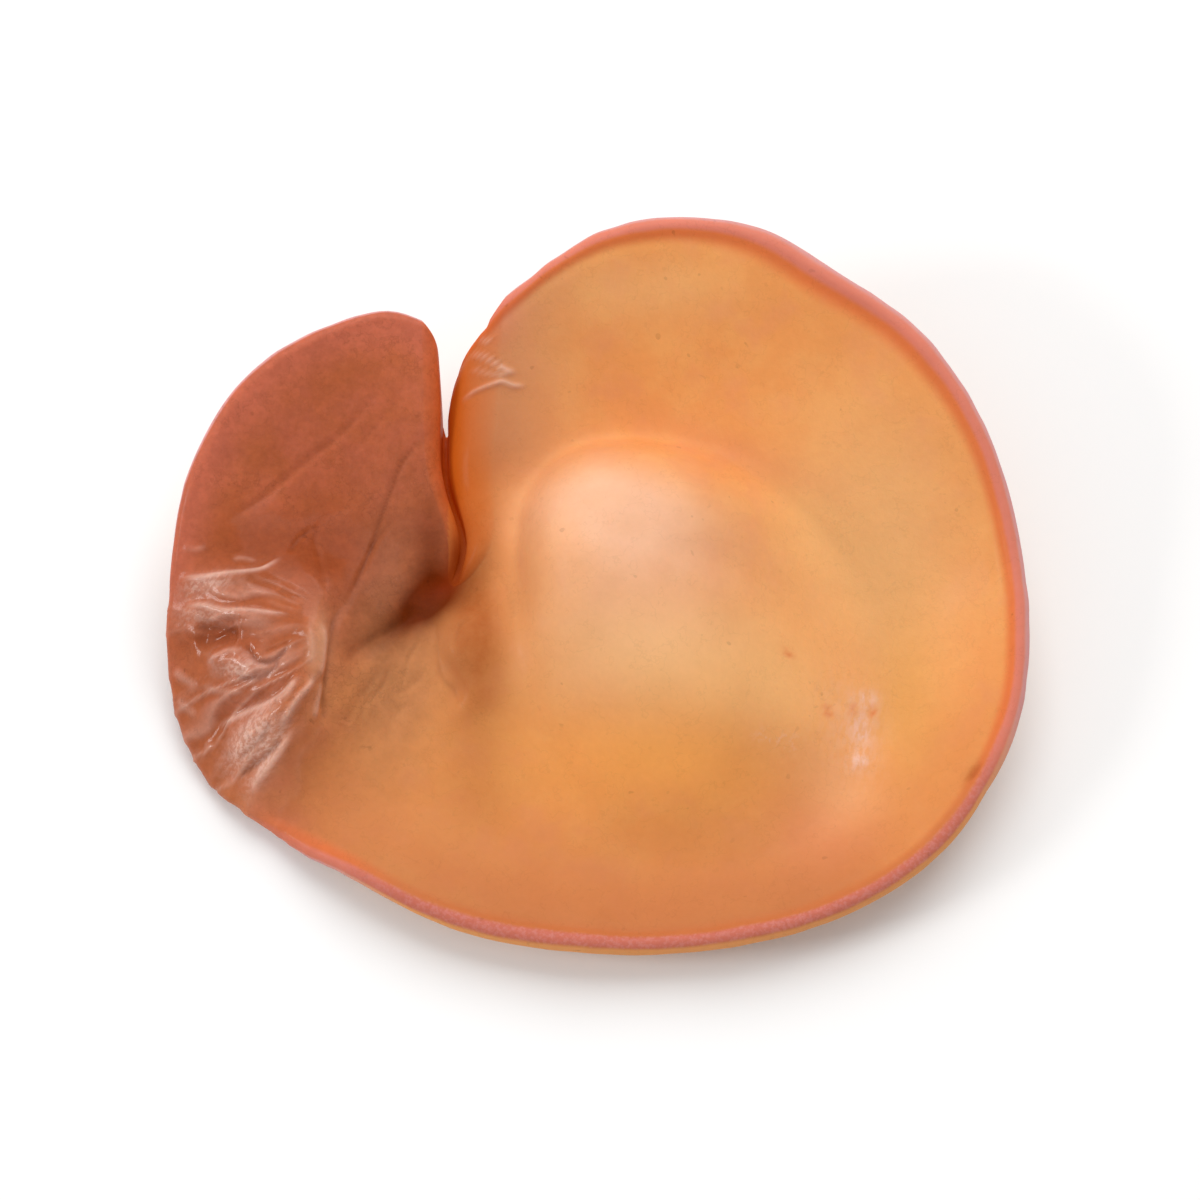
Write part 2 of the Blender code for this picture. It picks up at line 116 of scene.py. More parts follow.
# The slit: a deep pleat that shuts between the lobes. Pairs are for the small lobe, then the large
SLIT_GAP = 0.3
SLIT_OPENING = 15.0
SLIT_TURN = (1.7, 0.95)
SLIT_PARTING = (0.008, 0.05)
SLIT_FLOOR = 4.0
SLIT_END = 14.6
SLIT_SPREAD = 0.8
SLIT_REACH = 2.6
SLIT_LIP_SHARE = 0.42
SLIT_FLOOR_SHARE = 0.14
SLIT_LIP_HEIGHT = 0.62
BOW_PIT = (1.3, 3.5, 3.6)      # how far the slit bows to the large lobe, how far up, and over what length
BOW_TOP = (0.5, 6.0, 12.0)     # and back towards the small lobe, rising between these places up the slit
BOW_WIDTH = 6.0          # the flesh within this distance follows

# Broad folds: height (a hollow is below 0), half width (or that to the left of the line and that to its
# right), and the line
FOLDS = (
    (-0.7, 1.3, ((-22.2, -5), (-20.1, -5.1), (-17.8, -5.2))),    # in the rolled shoulder
    (0.5, 0.95, ((-21, -7.3), (-18.7, -7.4), (-16.9, -8.4), (-15.4, -9))),
    (-0.6, 0.9, ((-12.6, -9.6), (-13.6, -10.5), (-15.6, -11.4), (-17.8, -11.7), (-21.6, -12.9))),
    (0.6, 1.1, ((-19.2, -15.4), (-16.6, -14), (-14.4, -12.4), (-12.5, -10.6))),
    (0.4, 0.95, ((-12.3, -4.4), (-11.4, -6.4), (-11, -8.6), (-11.4, -10.2))),    # crest of the ridge
    (-0.45, 0.95, ((-8.2, -1), (-9.9, -4.6), (-10, -7.5), (-10.2, -10.4), (-11.8, -14.2))),
    (-0.4, 0.9, ((-1.8, -1.8), (-4.4, -4.4), (-7, -6.5), (-9, -8.2))),    # out of the pit
    (-0.5, 0.95, ((-1.6, -1.8), (-1.2, -4.5), (-0.8, -6.9), (0.6, -9), (1.2, -11.7))),
    (-0.25, 1.6, ((4.2, 7.4), (5.8, 3.8), (6.6, -0.3), (6.3, -3), (5.2, -6))),    # where the dome stands
    (-0.14, 1.0, 0.8, ((4.4, 1.8), (6, -0.5), (6.7, -3.1), (6.2, -5.6), (5.8, -7.3))),
    # foot beside the pit
    (0.3, 2.2, 1.5, ((1.4, -1.6), (1, -4), (1, -6.5), (1.6, -9.5), (3, -12.5))),
)

# The grid
LOBE_COLUMNS = 410
SLIT_COLUMNS = 54
FACE_RINGS = 132
LIP_RINGS = 13
UNDER_RINGS = 44
STUB_RINGS = 12
CUT_RINGS = 6
LINE_STEPS = 30          # points measured along a smooth line for each of its stations
OUT_STEP = 0.01          # share of the way out over which a direction is measured
PIT_SHARE = 0.0001       # share of the way out at which the columns meet in the pit
CROWDS = ((0.01, 1.2), (0.14, 0.3), (0.79, 2.4))    # where the columns crowd round the margin, and how much
CROWD_SPAN = 0.08        # over this share to either side

# Wrinkles of the smooth face, given as the folds are. A small half width on one side gives that side a
# sharp edge
WRINKLES = (
    # the two long folds of the small lobe's side, and the short ones above them
    (0.38, 0.2, 1.1, ((-23.8, 0.3), (-22.5, 0), (-21.1, -0.1), (-19.4, 0), (-17.2, 0.1), (-16, 0.3),
                      (-15.1, 0.9), (-14.3, 1.7))),
    (0.34, 0.2, 0.9, ((-23.5, -2.5), (-22.6, -2.3), (-21.6, -2.4), (-20.3, -2.9), (-19.3, -3.3),
                      (-17.9, -3.4), (-16.4, -3.6), (-14.9, -3.9), (-13.4, -4.2))),
    (0.14, 0.16, 0.4, ((-23.3, 2.5), (-21.9, 2.3), (-21, 2.5))),
    (0.12, 0.16, 0.3, ((-18.9, 1.3), (-17.7, 1.3), (-16.6, 1))),
    # the swirl in the hollow below them
    (-0.3, 0.24, 0.34, ((-17.4, -6), (-17, -7), (-16.2, -7.9), (-15.1, -8.1), (-14.1, -7.5),
                        (-13.3, -6.4))),
    (-0.26, 0.22, 0.45, ((-18.4, -8.9), (-17.2, -9.2), (-16, -9.2), (-15, -8.8), (-14.1, -7.8))),
    (0.2, 0.4, 0.22, ((-21.1, -7.4), (-20, -7), (-18.7, -6.7), (-17.5, -7.1))),
    (0.16, 0.22, ((-21.4, -9), (-20, -9.7), (-18.6, -10.1), (-17.2, -10.3))),
    (-0.16, 0.2, 0.3, ((-22.8, -4.2), (-21, -4.4), (-19.3, -4.9), (-17.9, -5.8))),
    # beads of the margin beside it
    (0.16, 0.22, 0.3, ((-24.3, -7), (-23.1, -8), (-21.7, -9.1))),
    (0.13, 0.22, 0.3, ((-23.9, -9.3), (-22.9, -10.4), (-21.9, -11.3))),
    (0.12, 0.2, 0.24, ((-21.4, -13.6), (-20.6, -14))),
    # the edge of the bulge below it, and the folds of the bulge
    (0.42, 1.2, 0.2, ((-12.1, -9.5), (-13.1, -10), (-14.1, -10.8), (-14.8, -11.2), (-15.8, -11.5),
                      (-16.8, -11.7), (-18.1, -12), (-19.3, -12.3), (-20.6, -12.5))),
    (0.26, 0.26, 0.3, ((-11.1, -9.1), (-11.8, -10.5), (-12.6, -11.4), (-13.4, -12.6), (-14.3, -14))),
    (0.24, 0.22, 0.26, ((-12.9, -9.9), (-13.4, -10.9), (-14.6, -11.6))),
    (0.24, 0.22, 0.26, ((-10.3, -9.7), (-10.7, -11.3), (-11.1, -12.4), (-11.4, -13))),
    (-0.3, 0.28, 0.3, ((-13.4, -13.9), (-14.8, -15.1), (-16.2, -15.9), (-17.6, -16.5), (-18.7, -17))),
    (0.3, 0.5, 0.36, ((-13.2, -13.7), (-14.1, -15), (-15.2, -16.2), (-16.4, -17.3), (-17.3, -18))),
    (-0.2, 0.26, ((-14.6, -12.5), (-15.5, -13.9), (-16.9, -14.9), (-18.2, -15.5))),
    # the ridge's crest and the crease beside it
    (0.2, 0.5, 0.34, ((-10.9, -4.8), (-10.3, -5.8), (-10.3, -7.2), (-10.6, -8.8), (-11, -9.8))),
    (0.12, 0.26, ((-11.7, -5.4), (-11.5, -6.5), (-11.5, -7.8), (-11.9, -8.8))),
    (-0.24, 0.26, 0.4, ((-8.7, -2.2), (-9.5, -4.4), (-9.8, -6.8), (-10, -8.4), (-10.3, -11), (-10.4, -12.3),
                        (-11.2, -14.1))),
    # the long crease up the small lobe to the slit, and the faint ones beside it
    (-0.2, 0.4, 0.18, ((-0.9, 13.3), (-2.9, 12.1), (-4.2, 10.7), (-5.1, 8.5), (-6, 6.1), (-6.8, 3.3),
                       (-7.8, 0.3), (-9.1, -3.5))),
    (-0.1, 0.26, 0.16, ((-4.6, 6), (-6.1, 4.3), (-7.2, 2.4))),
    (-0.1, 0.3, ((-10.8, 6.3), (-11.6, 4.5), (-10.9, 0.3), (-10.4, -2.2))),
    (-0.12, 0.3, ((-14, 1.7), (-12.8, 3.9), (-11.6, 5))),
    # across the small lobe
    (-0.12, 0.36, ((-5.6, 17.1), (-9.5, 13), (-12.7, 10.4), (-16.9, 6.5), (-20.4, 3.8))),
    (-0.06, 0.3, ((-2.6, 17.8), (-5.8, 14.3), (-9.5, 10.4))),
    # out of the pit
    (-0.07, 0.3, 0.4, ((-2.5, -2.6), (-4.2, -4), (-5.7, -5), (-7.2, -6.3), (-8.2, -7.5), (-9.2, -8.5))),
    (-0.1, 0.26, 0.3, ((-5.7, -7.9), (-7.8, -11), (-9.1, -13.2))),
    (-0.1, 0.26, 0.3, ((-1.8, -8.1), (-3.6, -9.4), (-4.9, -9.8))),
    (-0.14, 0.3, 0.24, ((-1, -3), (-1, -4.7), (-0.9, -6.6), (-0.5, -8.6), (0.6, -9.8), (1.3, -11.8))),
    (-0.1, 0.3, ((3.9, 1.4), (5, -0.8), (5.6, -3), (5.5, -5.2))),
    (-0.1, 0.2, ((2.2, -3.2), (1.2, -4.6), (0.7, -6.4))),
    (-0.1, 0.2, ((-2.2, -5.2), (-3.4, -7), (-4, -9.4))),
    (-0.1, 0.2, ((-4.9, -7.2), (-5.6, -9.2), (-7.2, -11), (-7.6, -13.2))),
    (-0.08, 0.2, ((-3, -10.4), (-4.6, -11.6), (-5.4, -13.8))),
    # wrinkles that fan out from the slit over the large lobe
    (0.25, 0.2, 0.25, ((2.5, 21.3), (3.1, 20.9), (3.9, 20.6))),
    (0.28, 0.2, 0.25, ((1.9, 20.5), (2.3, 19.9), (3.1, 19.5), (4.1, 18.8), (5.2, 18.2), (6.2, 17.9))),
    (0.16, 0.2, 0.22, ((1.7, 18.4), (2.3, 18.5), (3.1, 18.1), (4.7, 17.8), (5.8, 18))),
    (0.28, 0.2, ((1.3, 15.6), (1.6, 16.2), (2.2, 16.5), (3.6, 16.9), (4.7, 17.2), (5.8, 16.9),
                 (7.1, 16.9))),
    # scratches low on the right
    (-0.1, 0.22, ((31.8, -8.6), (32.8, -9.7), (33.9, -11.1))),
    (-0.1, 0.22, ((32.6, -8.2), (34.1, -9.5), (35.2, -10.5))),
    (0.12, 0.22, ((35.2, -8.8), (36, -10.4), (36.8, -11.5), (36.8, -12.6))),
    (0.1, 0.22, ((35.7, -14.1), (36.4, -15.5))),
    (0.1, 0.22, ((37.3, -8.5), (37.9, -10.2), (37.7, -12.3))),
    (-0.22, 0.26, ((46.3, -16.7), (45.7, -17.4), (45.2, -18.2))),
)

# Puckers of the small lobe's side
FAN = (-7.0, -5.0)       # they fan out from here,
FAN_START = 4.0          # beginning at this reach
FAN_FULL = 8.0           # and in full from this one
FAN_TOP = (-0.5, 2.5)    # down the lobe between these places
FAN_SWIRL = (40.0, 2.0)  # and turn towards their start, most near it
FAN_WANDER = (2.6, 5, 5.0)    # grain that bends its lines: size, the number that seeds it, degrees

# Lines of the fan: how far they are drawn out, their size in degrees, the number that seeds them, and
# their half width. Then their heights
STREAK_LINES = (0.42, 6.5, 6, 0.16)
STRAND_LINES = (0.80, 3.0, 7, 0.20)
STREAK_HEIGHT = 0.20
STRAND_HEIGHT = 0.08

# Beads along the margin: height, how far in, half width
BEADS = ((0.10, 1.5, 0.5), (-0.10, 2.5, 0.7))

# Grains of the skin: size in mm or degrees, the number that seeds them, and height
WAVES = (7.5, 3, 0.11)
SMALL_WAVES = (3.1, 4, 0.06)
TICKS = (1.5, 8, 0.14)
SHALLOW_WAVES = (1.5, 9, 0.06)
SHALLOW_WANDER = (3.0, 17, 0.4)
SHALLOW_LEAN = (0.64, 0.77)    # cosine and sine of the turn by which the shallow waves lean
SCUFFING = (0.5, 10, 0.08)
RIBS = (13.0, 11, 0.30)
LUMPS = (4.2, 12, 0.14)
VELVET_GRAINS = ((0.75, 13, 0.06), (0.4, 14, 0.04))
RIPPLES = ((5.2, 15, 0.10), (1.7, 16, 0.05))
LATTICE = 96             # values of a grain along each side before it repeats

SMALL_LOBE_END = (118.0, 165.0)    # degrees anticlockwise from the slit over which the small lobe ends

# Soft spots of the smooth face: the strength, middle, reach and turn in degrees of each hill
SOFT_SPOTS = {
    # the pit and the foot of the dome beside it, with painted shade in the pit and round it
    "pit_shade": ((1, (0.7, 2.4), (0.8, 2.6), -4), (0.8, (-0.4, 0), (1.8, 1.1), 42)),
    "pit_hollow_shade": ((1.2, (-1.7, -1.5), (4.2, 2.3), 34), (0.6, (-1.6, 3.4), (1.6, 4.6)),
                 (0.4, (-4.6, -4.8), (2.6, 1.6), 34)),
    # painted shade on the foot of the dome where it falls to the pit
    "foot": ((0.35, (2.4, -17.4), (3.4, 3.4)), (1.15, (2.3, -5.2), (3, 7.2), 4),
             (0.7, (2.6, 5.6), (2.4, 5))),
    # the large lobe
    # painted pinkish sheen over the top of the dome
    "dome_sheen": ((1, (14.5, 4.4), (8.5, 4.6), -14), (0.62, (16, -3), (9, 7))),
    "glow": ((1, (18, -16), (11, 3.6), -6),),
    # painted light on the front of the dome
    "dome_front_light": ((1, (18, -8), (9.5, 4.6), -4),),
    "dome_side": ((1, (29, -10), (6.5, 6), -30), (0.7, (33.5, 3), (5, 8))),
    "pale_side": ((1, (39, 2), (7.5, 12), 8), (0.5, (17.6, 24.5), (8, 2.6))),
    "pink_pale": ((1, (33, -17.6), (4.6, 3.2), -30),),
    "pink_low": ((1, (32, -20.5), (6, 4.4), -30),),
    "yellow": ((1, (40.4, -11), (3.4, 9), -2),),
    "shade_line": ((1, (25, 11.6), (9, 1.7), -22),),
    "rose": ((1, (4.5, 23.4), (2.2, 2.6)),),
    # painted highlights on fine wrinkles low on the right
    "patch": ((1, (36.9, -9.3), (1, 0.7)), (1, (36.5, -12), (0.8, 1.3), 6),
              (1, (36.2, -14.9), (0.8, 0.7)), (0.35, (35.4, -12.2), (2.6, 4.2), 12)),
    "scuffs": ((1, (27.9, -14.1), (1, 0.6)), (1, (29.9, -14.1), (0.9, 0.7))),
    "notch": ((1, (45.7, -17.3), (0.45, 1), -32),),
    "ember_dot": ((1, (29.8, -6.8), (0.5, 0.25), -24), (1, (33.4, -10.9), (0.3, 0.5), 30),
                  (1, (35.7, -10.3), (0.25, 0.35), 20), (1, (37.5, -10.3), (0.25, 0.45))),
    # the small lobe: painted shade on the shoulder and in the hollow, painted sheen and shade in the cup,
    # a painted highlight on the ridge, and painted wet highlights on the puckers
    "shoulder": ((1, (-15.6, 2.6), (6.4, 3.2), -8), (0.8, (-10.2, 3.4), (3.4, 4.6))),
    "cup": ((1, (-5.4, 3.2), (4.6, 6.6), -14), (0.7, (-6.4, -3.4), (3, 3.2))),
    "trough": ((1.15, (-4.4, -9), (4.8, 8.6), -16),),
    # painted highlight along the crest of the ridge
    "ridge_highlight": ((1, (-10.8, -6.8), (1, 3), -4),),
    "hollow": ((1, (-20.4, -5.2), (3, 1), -4),),
    "pucker": ((1.6, (-18, -8), (6.6, 11), -22),),
    # painted wet highlights on the puckers and the bulge
    "gloss_highlight": ((1, (-21, -0.8), (2.2, 0.8), 4), (0.6, (-21.4, -3.2), (2.6, 0.8), -8),
              (1, (-17.6, -8.4), (2, 0.9), -16), (1, (-17, -13.9), (2.9, 1.4), 46),
              (1, (-15.6, -15.9), (2.4, 0.7), 50), (0.6, (-15.8, -14.2), (1.8, 1.2), 50)),
}

# Values painted on the skin, three to a layer
PAINTS = (*SOFT_SPOTS, "rim", "band_squeeze", "low_edge", "small_lobe", "streak", "strand", "slit", "crest",
          "crease", "slit_side", "wall_side", "valley")
PAINTS_TO_LAYER = 3

FOLD_POINTS = 24         # points along the line of a fold or a wrinkle
FOLD_TAPER = 0.22        # share of its length over which each end fades
FOLD_EDGE = 3.0          # beyond this many half widths nothing of it is left
# a wrinkle's crest is painted as a highlight and its crease as shade
WRINKLE_FULL = 0.35      # height at which it is painted at full strength
WRINKLE_FINE = 0.26      # painted no wider than this to either side


def ramp(x, start, end):
    """Smooth rise from 0 at start to 1 at end."""
    u = np.clip((x - start) / (end - start), 0.0, 1.0)
    return u * u * (3.0 - 2.0 * u)


def bell(distance, width):
    """1 at no distance, falling off to both sides like a bell."""
    return np.exp(-(distance / width)**2)


def between(start, end, count):
    """Even steps from start to end, without the two ends."""
    return np.linspace(start, end, count + 2)[1:-1]


def running(steps):
    """What the steps add up to at each of their ends, from 0."""
    return np.concatenate(([0.0], np.cumsum(steps)))


def hill(x, y, middle, reach, turn=0.0):
    """Soft round hill from 1 at its middle towards 0: a bell over an ellipse turned by some degrees."""
    c, s = math.cos(math.radians(turn)), math.sin(math.radians(turn))
    dx, dy = x - middle[0], y - middle[1]
    return np.exp(-((c * dx + s * dy) / reach[0])**2 - ((c * dy - s * dx) / reach[1])**2)


def grain(x, y, size, seed, height=1.0):
    """Smooth random heights to both sides of 0: seeded values on a lattice, joined by smooth steps."""
    count = LATTICE
    values = np.random.default_rng(seed).uniform(-1.0, 1.0, (count, count))
    i, j = np.floor(x / size).astype(int), np.floor(y / size).astype(int)
    a, b = x / size - i, y / size - j
    a, b = a * a * (3.0 - 2.0 * a), b * b * (3.0 - 2.0 * b)
    low = values[i % count, j % count] * (1.0 - a) + values[(i + 1) % count, j % count] * a
    high = values[i % count, (j + 1) % count] * (1.0 - a) + values[(i + 1) % count, (j + 1) % count] * a
    return height * (low * (1.0 - b) + high * b)


def line_through(stations, shares):
    """Points at shares of the length of the smooth open line through the stations."""
    line = np.array(stations, dtype=float)
    steps = np.linalg.norm(np.diff(line, axis=0), axis=1)
    knots = running(steps)
    slopes = np.gradient(line, knots, axis=0)
    where = np.linspace(0.0, knots[-1], LINE_STEPS * len(line))
    left = np.clip(np.searchsorted(knots, where, side="right") - 1, 0, len(knots) - 2)
    span = (knots[left + 1] - knots[left])[:, None]
    u = (where - knots[left])[:, None] / span
    dense = ((2 * u**3 - 3 * u**2 + 1) * line[left] + (u**3 - 2 * u**2 + u) * span * slopes[left]
             + (3 * u**2 - 2 * u**3) * line[left + 1] + (u**3 - u**2) * span * slopes[left + 1])
    run = running(np.linalg.norm(np.diff(dense, axis=0), axis=1))
    return np.stack([np.interp(shares * run[-1], run, values) for values in dense.T], axis=1)


def plate_through(stations):
    """The smoothest bent plate that passes through the stations, as a height over (x, y)."""
    place = np.array(stations, dtype=float)
    count = len(place)

    def bend(dx, dy):
        square = dx**2 + dy**2 + 1e-9
        return 0.5 * square * np.log(square)

    flat = np.column_stack([np.ones(count), place[:, :2]])
    system = np.zeros((count + 3, count + 3))
    apart = place[:, None] - place[None, :]
    system[:count, :count] = bend(apart[..., 0], apart[..., 1])
    system[:count, count:] = flat
    system[count:, :count] = flat.T
    weight = np.linalg.solve(system, np.concatenate([place[:, 2], np.zeros(3)]))

    def height(x, y):
        total = weight[count] + weight[count + 1] * x + weight[count + 2] * y
        for (px, py, _), share in zip(place, weight):
            total = total + share * bend(x - px, y - py)
        return total

    return height


def round_the_clock(values, angle):
    """Smooth value at an angle, from values given at even steps anticlockwise from +X."""
    values = np.array(values, dtype=float)
    count = len(values)
    turn = (angle / (2 * np.pi)) % 1.0 * count
    index = np.floor(turn).astype(int)
    u = turn - index
    before, here, after, beyond = (values[(index + step) % count] for step in (-1, 0, 1, 2))
    return here + 0.5 * u * (after - before + u * (2 * before - 5 * here + 4 * after - beyond
                                                   + u * (3 * (here - after) + beyond - before)))


def dome(x, y):
    """Height of the dome: full in its middle, gone at its radius in each direction."""
    angle = np.arctan2(y - DOME_Y, x - DOME_X)
    share = np.hypot(x - DOME_X, y - DOME_Y) / round_the_clock(DOME_RADIUS, angle)
    fade = round_the_clock(DOME_FADE, angle)
    inside = 1.0 - np.minimum(share, DOME_FAR)**round_the_clock(DOME_FLATNESS, angle)
    rise = DOME_HEIGHT * np.sign(inside) * np.abs(inside)**fade
    fillet = DOME_FILLET * (2.0 - fade) * bell(share - 1.0, DOME_FOOT)
    return 0.5 * (rise + np.sqrt(rise**2 + fillet**2))


def ridge(x, y):
    """Height of the ridge, a soft crest along a bowed line."""
    crest = RIDGE_X - RIDGE_BOW * (y - RIDGE_Y)**2
    length = ramp(y, RIDGE_FOOT, RIDGE_FOOT + RIDGE_FADE) * (1.0 - ramp(y, RIDGE_TOP - RIDGE_FADE, RIDGE_TOP))
    return RIDGE_HEIGHT * length * bell(x - crest, RIDGE_WIDTH)


def pit(x, y):
    """Depth of the pit."""
    return PIT_DEPTH * np.exp(-(x**2 + y**2) / PIT_RADIUS**2)


PLATE = plate_through(MARGIN + FACE)


def relief(x, y):
    """Height of the smooth face over a place in plan, outside the slit."""
    return PLATE(x, y) + dome(x, y) + ridge(x, y) - pit(x, y)


def column_shares():
    """Shares of the margin's length at which the columns start, closer together where they crowd."""
    t = np.linspace(0.0, 1.0, LINE_STEPS * LOBE_COLUMNS)
    density = 1.0 + sum(more * bell(t - share, CROWD_SPAN) for share, more in CROWDS)
    run = running(0.5 * (density[1:] + density[:-1]))
    return np.interp(np.linspace(0.0, run[-1], LOBE_COLUMNS), run, t)


RIM = line_through(MARGIN, column_shares())


def spread(rim, edge, s):
    """Plan of columns at a share s of the way out: straight rays from the pit, fanned away from the
    slit near the pit so that the column at the slit's edge runs beside it."""
    angle = np.abs(np.arctan2(rim[..., 0], rim[..., 1]))
    first = np.abs(np.arctan2(edge[0], edge[1]))
    opened = np.arctan(np.tan(first) * s**-SLIT_SPREAD) - first
    angle = angle + opened * (1.0 - ramp(angle, first, SLIT_REACH))
    reach = np.hypot(rim[..., 0], rim[..., 1]) * s
    return np.sign(rim[..., 0]) * reach * np.sin(angle), reach * np.cos(angle)


def lobes(s):
    """Smooth face of the two lobes: places for shares s of the way out (rings, columns)."""
    right = spread(RIM, RIM[0], s)
    left = spread(RIM, RIM[-1], s)
    x, y = (np.where(RIM[:, 0] > 0, a, b) for a, b in zip(right, left))
    return np.stack([x, y, relief(x, y)], axis=-1)


def slit(s):
    """The pleat: from the small lobe down one wall, round the bottom and up to the large lobe."""
    p = between(-1.0, 1.0, SLIT_COLUMNS)
    depth = 1.0 - np.abs(p)
    roll = np.clip(depth / SLIT_LIP_SHARE, 0.0, 1.0) * np.pi / 2
    fall = np.clip((depth - SLIT_LIP_SHARE) / (1.0 - SLIT_LIP_SHARE - SLIT_FLOOR_SHARE), 0.0, 1.0)
    turn = np.clip((depth - 1.0 + SLIT_FLOOR_SHARE) / SLIT_FLOOR_SHARE, 0.0, 1.0) * np.pi / 2
    small = spread(RIM[-1], RIM[-1], s)
    large = spread(RIM[0], RIM[0], s)
    edge_x, edge_y = (np.where(p < 0, a, b) for a, b in zip(small, large))
    y = edge_y + (SLIT_END * s - edge_y) * depth**np.where(p < 0, *SLIT_TURN)
    lip_height = relief(edge_x, y)
    gap = SLIT_GAP + np.where(p < 0, *SLIT_PARTING) * np.maximum(y - SLIT_OPENING, 0.0)**2
    gap = np.sign(p) * np.minimum(gap, 0.5 * np.abs(edge_x))
    x = (gap + (edge_x - gap) * (1.0 - np.sin(roll))) * np.cos(turn)
    middle = relief(0.0, 0.0)
    floor = middle + (SLIT_FLOOR - middle) * ramp(s, 0.0, 1.0)
    drop = np.maximum(lip_height - floor, 0.0)
    roll_height = np.minimum(SLIT_LIP_HEIGHT * drop, np.abs(edge_x - gap))
    z = lip_height - roll_height * (1.0 - np.cos(roll)) - fall * (drop - roll_height)
    return np.stack([x, y, z], axis=-1)


def bow(x, y):
    """How far the flesh beside the slit is pushed across, so that the slit runs in a soft S."""
    push, middle, length = BOW_PIT
    back, start, end = BOW_TOP
    return (push * bell(y - middle, length) - back * ramp(y, start, end)) * bell(x, BOW_WIDTH)


def face(s):
    """Smooth face over all columns for shares s of the way out (rings, columns)."""
    s = np.broadcast_to(s, (np.shape(s)[0], LOBE_COLUMNS + SLIT_COLUMNS))
    place = np.concatenate([lobes(s[:, :LOBE_COLUMNS]), slit(s[:, LOBE_COLUMNS:])], axis=1)
    place[..., 0] += bow(place[..., 0], place[..., 1])
    return place


def outward(s):
    """Unit normal of the smooth face, and the unit direction in which its columns run out."""
    run = face(np.minimum(s + OUT_STEP, 1.0)) - face(s - OUT_STEP)
    here = face(s)
    across = np.roll(here, -1, axis=1) - np.roll(here, 1, axis=1)
    normal = np.cross(across, run)
    normal = normal / np.linalg.norm(normal, axis=-1, keepdims=True)
    run = run - (run * normal).sum(axis=-1, keepdims=True) * normal
    return normal, run / np.linalg.norm(run, axis=-1, keepdims=True)


def thickness(here):
    """Thickness of the flesh under a place on the smooth face."""
    x, y = here[..., 0], here[..., 1]
    near = np.exp(-(x**2 + y**2) / GATHER**2)
    thin = THIN_SHARE * bell(x, THIN_REACH) * ramp(-x, -SLIT_GAP, SLIT_GAP) * ramp(y, *THIN_START)
    return ((FLESH + (FLESH_AT_PIT - FLESH) * near) * (1.0 - thin))[..., None]


def underside(s):
    """The outer skin, one thickness below the smooth face."""
    here = face(s)
    return here - thickness(here) * outward(s)[0]


def evened(rings):
    """The underside evened out. Towards the stub the columns at the slit's two edges come to lie halfway
    between their neighbours. Then the crease round the dome's steep side is rounded: each place there
    moves up to halfway to the mean of its four neighbours, in the last ring of its two, many times."""
    inner = ramp(np.linspace(0.0, 1.0, len(rings)), *SEAM_RISE)[:, None]
    for seam in (0, LOBE_COLUMNS - 1):
        middle = 0.5 * (rings[:, seam - 1] + rings[:, seam + 1])
        rings[:, seam] = rings[:, seam] + inner * (middle - rings[:, seam])
    for _ in range(EVENING):
        inside = rings[1:-1]
        around = rings[:-2] + rings[2:] + np.roll(inside, 1, axis=1) + np.roll(inside, -1, axis=1)
        share = 0.5 * ramp(inside[..., 1:2], *EVENING_UP) * ramp(inside[..., :1], *EVENING_ACROSS)
        rings[1:-1] = inside + share * (0.25 * around - inside)
        last = rings[-1]
        middle = 0.5 * (np.roll(last, 1, axis=0) + np.roll(last, -1, axis=0))
        rings[-1] = last + share[-1] * (middle - last)
    return rings


def lip():
    """Half-round lip from the smooth face to the underside at the margin."""
    edge = np.ones((1, LOBE_COLUMNS + SLIT_COLUMNS))
    here = face(edge)
    normal, run = outward(edge)
    half = 0.5 * thickness(here)
    turn = between(0.0, np.pi, LIP_RINGS)[:, None, None]
    return here - half * normal + half * (np.cos(turn) * normal + np.sin(turn) * run)


def stub(last_ring):
    """Flare from the last ring of the underside down to the edge of the cut, where no column runs back."""
    angle = np.unwrap(np.arctan2(last_ring[:LOBE_COLUMNS, 1], last_ring[:LOBE_COLUMNS, 0]))
    angle = np.minimum.accumulate(angle)
    angle = np.concatenate([angle, between(angle[-1], angle[0] - 2 * np.pi, SLIT_COLUMNS)])
    radius = CUT_RADIUS * (1.0 + CUT_WAVE * np.cos(2 * angle + CUT_TURN))
    foot = np.stack([radius * np.cos(angle), radius * np.sin(angle), np.zeros_like(angle)], axis=-1)
    knee = foot * FLARE_SWELL
    knee[:, 2] = np.minimum(last_ring[:, 2], FLARE_KNEE)
    q = np.linspace(0.0, 1.0, STUB_RINGS + 1)[1:, None, None]
    return (1 - q)**2 * last_ring + 2 * q * (1 - q) * knee + q**2 * foot


def folds(x, y, strokes):
    """Height of folds or wrinkles: a bell across each line, as wide on either side as stated, fading
    towards both ends."""
    total = np.zeros_like(x)
    for height, *widths, stations in strokes:
        line = line_through(stations, np.linspace(0.0, 1.0, FOLD_POINTS))
        reach = FOLD_EDGE * max(widths)
        low, high = line.min(axis=0) - reach, line.max(axis=0) + reach
        near = (x > low[0]) & (x < high[0]) & (y > low[1]) & (y < high[1])
        start, step = line[:-1], np.diff(line, axis=0)
        from_x, from_y = x[near][:, None] - start[:, 0], y[near][:, None] - start[:, 1]
        u = np.clip((from_x * step[:, 0] + from_y * step[:, 1]) / (step**2).sum(axis=1), 0.0, 1.0)
        gap = np.hypot(from_x - u * step[:, 0], from_y - u * step[:, 1])
        best = gap.argmin(axis=1)[:, None]
        along = (best + np.take_along_axis(u, best, axis=1))[:, 0] / len(step)
        left = np.take_along_axis(from_y * step[:, 0] - from_x * step[:, 1], best, axis=1)[:, 0] > 0
        fade = ramp(along, 0.0, FOLD_TAPER) * ramp(1.0 - along, 0.0, FOLD_TAPER)
        across = np.minimum(gap.min(axis=1) / np.where(left, widths[0], widths[-1]), FOLD_EDGE)
        total[near] += height * fade * np.exp(-across**2)
    return total


